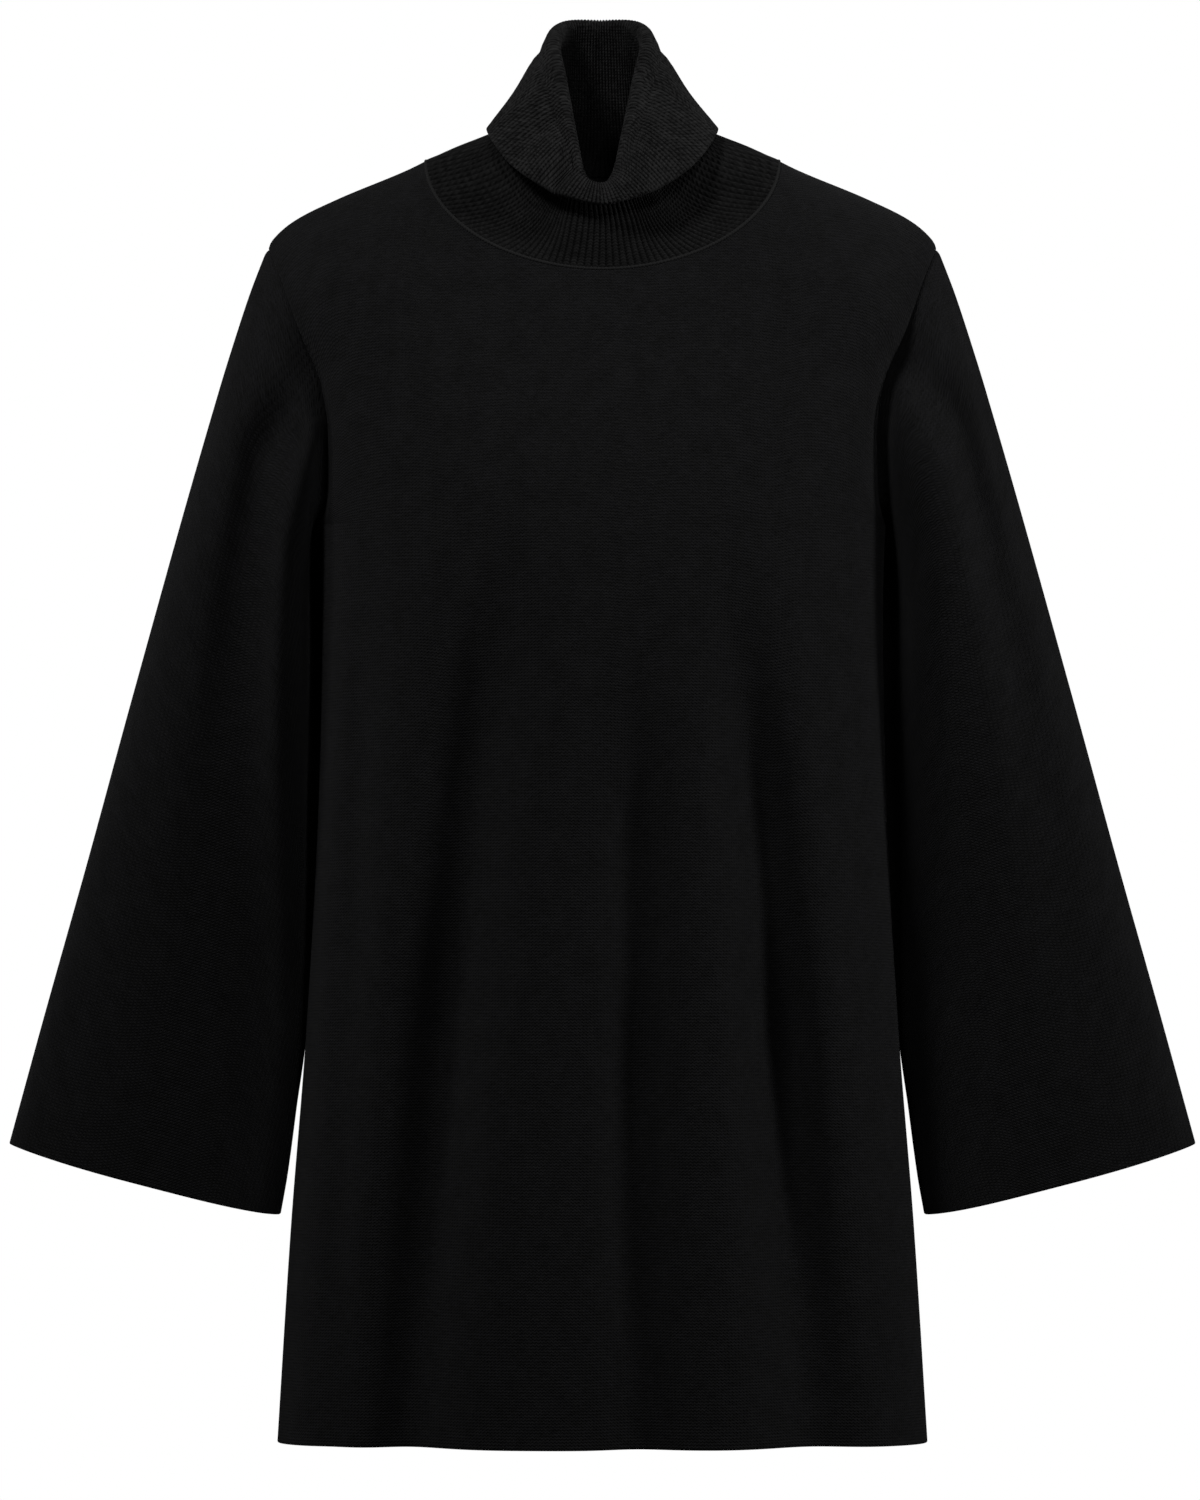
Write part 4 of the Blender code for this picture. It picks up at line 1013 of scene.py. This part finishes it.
PIECES = {
    "front": (lambda: body_panel("front_cloth", -1), (0.559, 0.875)),
    "back": (lambda: body_panel("back_cloth", 1), (0.544, 0.877)),
    "sleeve_left": (lambda: sleeve("sleeve_left_cloth", 1), (0.479, 0.614)),
    "sleeve_right": (lambda: sleeve("sleeve_right_cloth", -1), (0.479, 0.614)),
    "collar": (lambda: roll_collar("collar_cloth"), (0.654, 0.208)),
}
SLOTS = {node: node + "_jersey" for node in PIECES}
SLOTS["collar"] = "collar_rib"

chain = linking_chain("neck_linking_chain")
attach(chain, "root")
for node, (make, flat) in PIECES.items():
    piece, area = make()
    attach(piece, "root")
    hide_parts(node)

# Camera, floor and light

VIEW_DISTANCE = 5.0  # metres in front of the shoulder line
VIEW_HEIGHT = -0.386
VIEW_SIDE = -0.0016
FRAME_HEIGHT = 0.99  # metres seen from top to bottom at the dress
FLOOR_Z = -1.38  # where the feet of someone who wears it would stand
FLOOR_REACH = 4.5
FLOOR_SIDES = 96
FLOOR_PAINT = "#e6e6e6"
FLOOR_ROUGHNESS = 0.9
FLOOR_GLOW = 0.55  # light that it gives off itself, so that it looks as pale as the room
SENSOR_WIDTH = 36
FAR_LIMIT = 100  # metres, past which nothing is seen
ROOM_LIGHT = 0.03  # how much light the room gives, where it looks like 1
LIGHT_WIDTH = 0.5  # metres across each light
LIGHTS = (  # name, place, the height on the dress's middle line that it aims at, and watts
    ("key", (-1.00, -1.20, 1.35), -0.25, 25),
    ("left", (-1.80, -0.50, -0.10), -0.35, 6),
    ("right", (1.80, -0.60, 0.15), -0.30, 20),
    ("front", (0.45, -2.00, 1.15), -0.25, 13),
)


def camera():
    """A long lens that looks level at the front."""
    lens = bpy.data.cameras.new("camera")
    lens.sensor_width = SENSOR_WIDTH
    lens.lens = SENSOR_WIDTH * VIEW_DISTANCE / FRAME_HEIGHT
    lens.clip_end = FAR_LIMIT
    holder = put("camera", lens)
    holder.location = (VIEW_SIDE, -VIEW_DISTANCE, VIEW_HEIGHT)
    holder.rotation_euler = (math.pi / 2, 0, 0)
    bpy.context.scene.camera = holder


def soft_light(name, place, aim_z, watts):
    """A round soft light, turned to the dress."""
    lamp = bpy.data.lights.new(name, "AREA")
    lamp.shape = "DISK"
    lamp.size = LIGHT_WIDTH
    lamp.energy = watts
    holder = put(name, lamp)
    holder.location = place
    x, y, z = place
    holder.rotation_euler = (math.atan2(math.hypot(x, y), z - aim_z), 0, math.atan2(x, -y))


def surroundings():
    """A white room to look at that itself gives only a little light."""
    world = bpy.data.worlds.new("studio")
    world.use_nodes = True
    tree = world.node_tree
    seen = add(tree, "LightPath").outputs["Is Camera Ray"]
    strength = add(tree, "Math", {"operation": "MULTIPLY_ADD"}, {0: seen, 1: 1 - ROOM_LIGHT, 2: ROOM_LIGHT})
    tree.nodes["Background"].inputs["Color"].default_value = (1, 1, 1, 1)
    tree.links.new(strength.outputs[0], tree.nodes["Background"].inputs["Strength"])
    bpy.context.scene.world = world


def floor():
    """A pale disc that takes the dress's soft shadow and throws no light back up at it."""
    turn = np.linspace(0, 2 * math.pi, FLOOR_SIDES + 1)[:-1]
    rim = [(FLOOR_REACH * math.cos(a), FLOOR_REACH * math.sin(a), FLOOR_Z) for a in turn]
    mesh = bpy.data.meshes.new("floor")
    mesh.from_pydata(rim, [], [tuple(range(len(rim)))])
    disc = put("floor", mesh)
    disc.visible_diffuse = False
    disc.visible_glossy = False
    paint = bpy.data.materials.new("white_studio_floor")
    paint.use_nodes = True
    shader = paint.node_tree.nodes["Principled BSDF"]
    shader.inputs["Base Color"].default_value = srgb(FLOOR_PAINT)
    shader.inputs["Roughness"].default_value = FLOOR_ROUGHNESS
    shader.inputs["Emission Color"].default_value = srgb("#ffffff")
    shader.inputs["Emission Strength"].default_value = FLOOR_GLOW
    mesh.materials.append(paint)


bpy.context.scene.view_settings.view_transform = "Standard"
surroundings()
floor()
for light in LIGHTS:
    soft_light(*light)
camera()
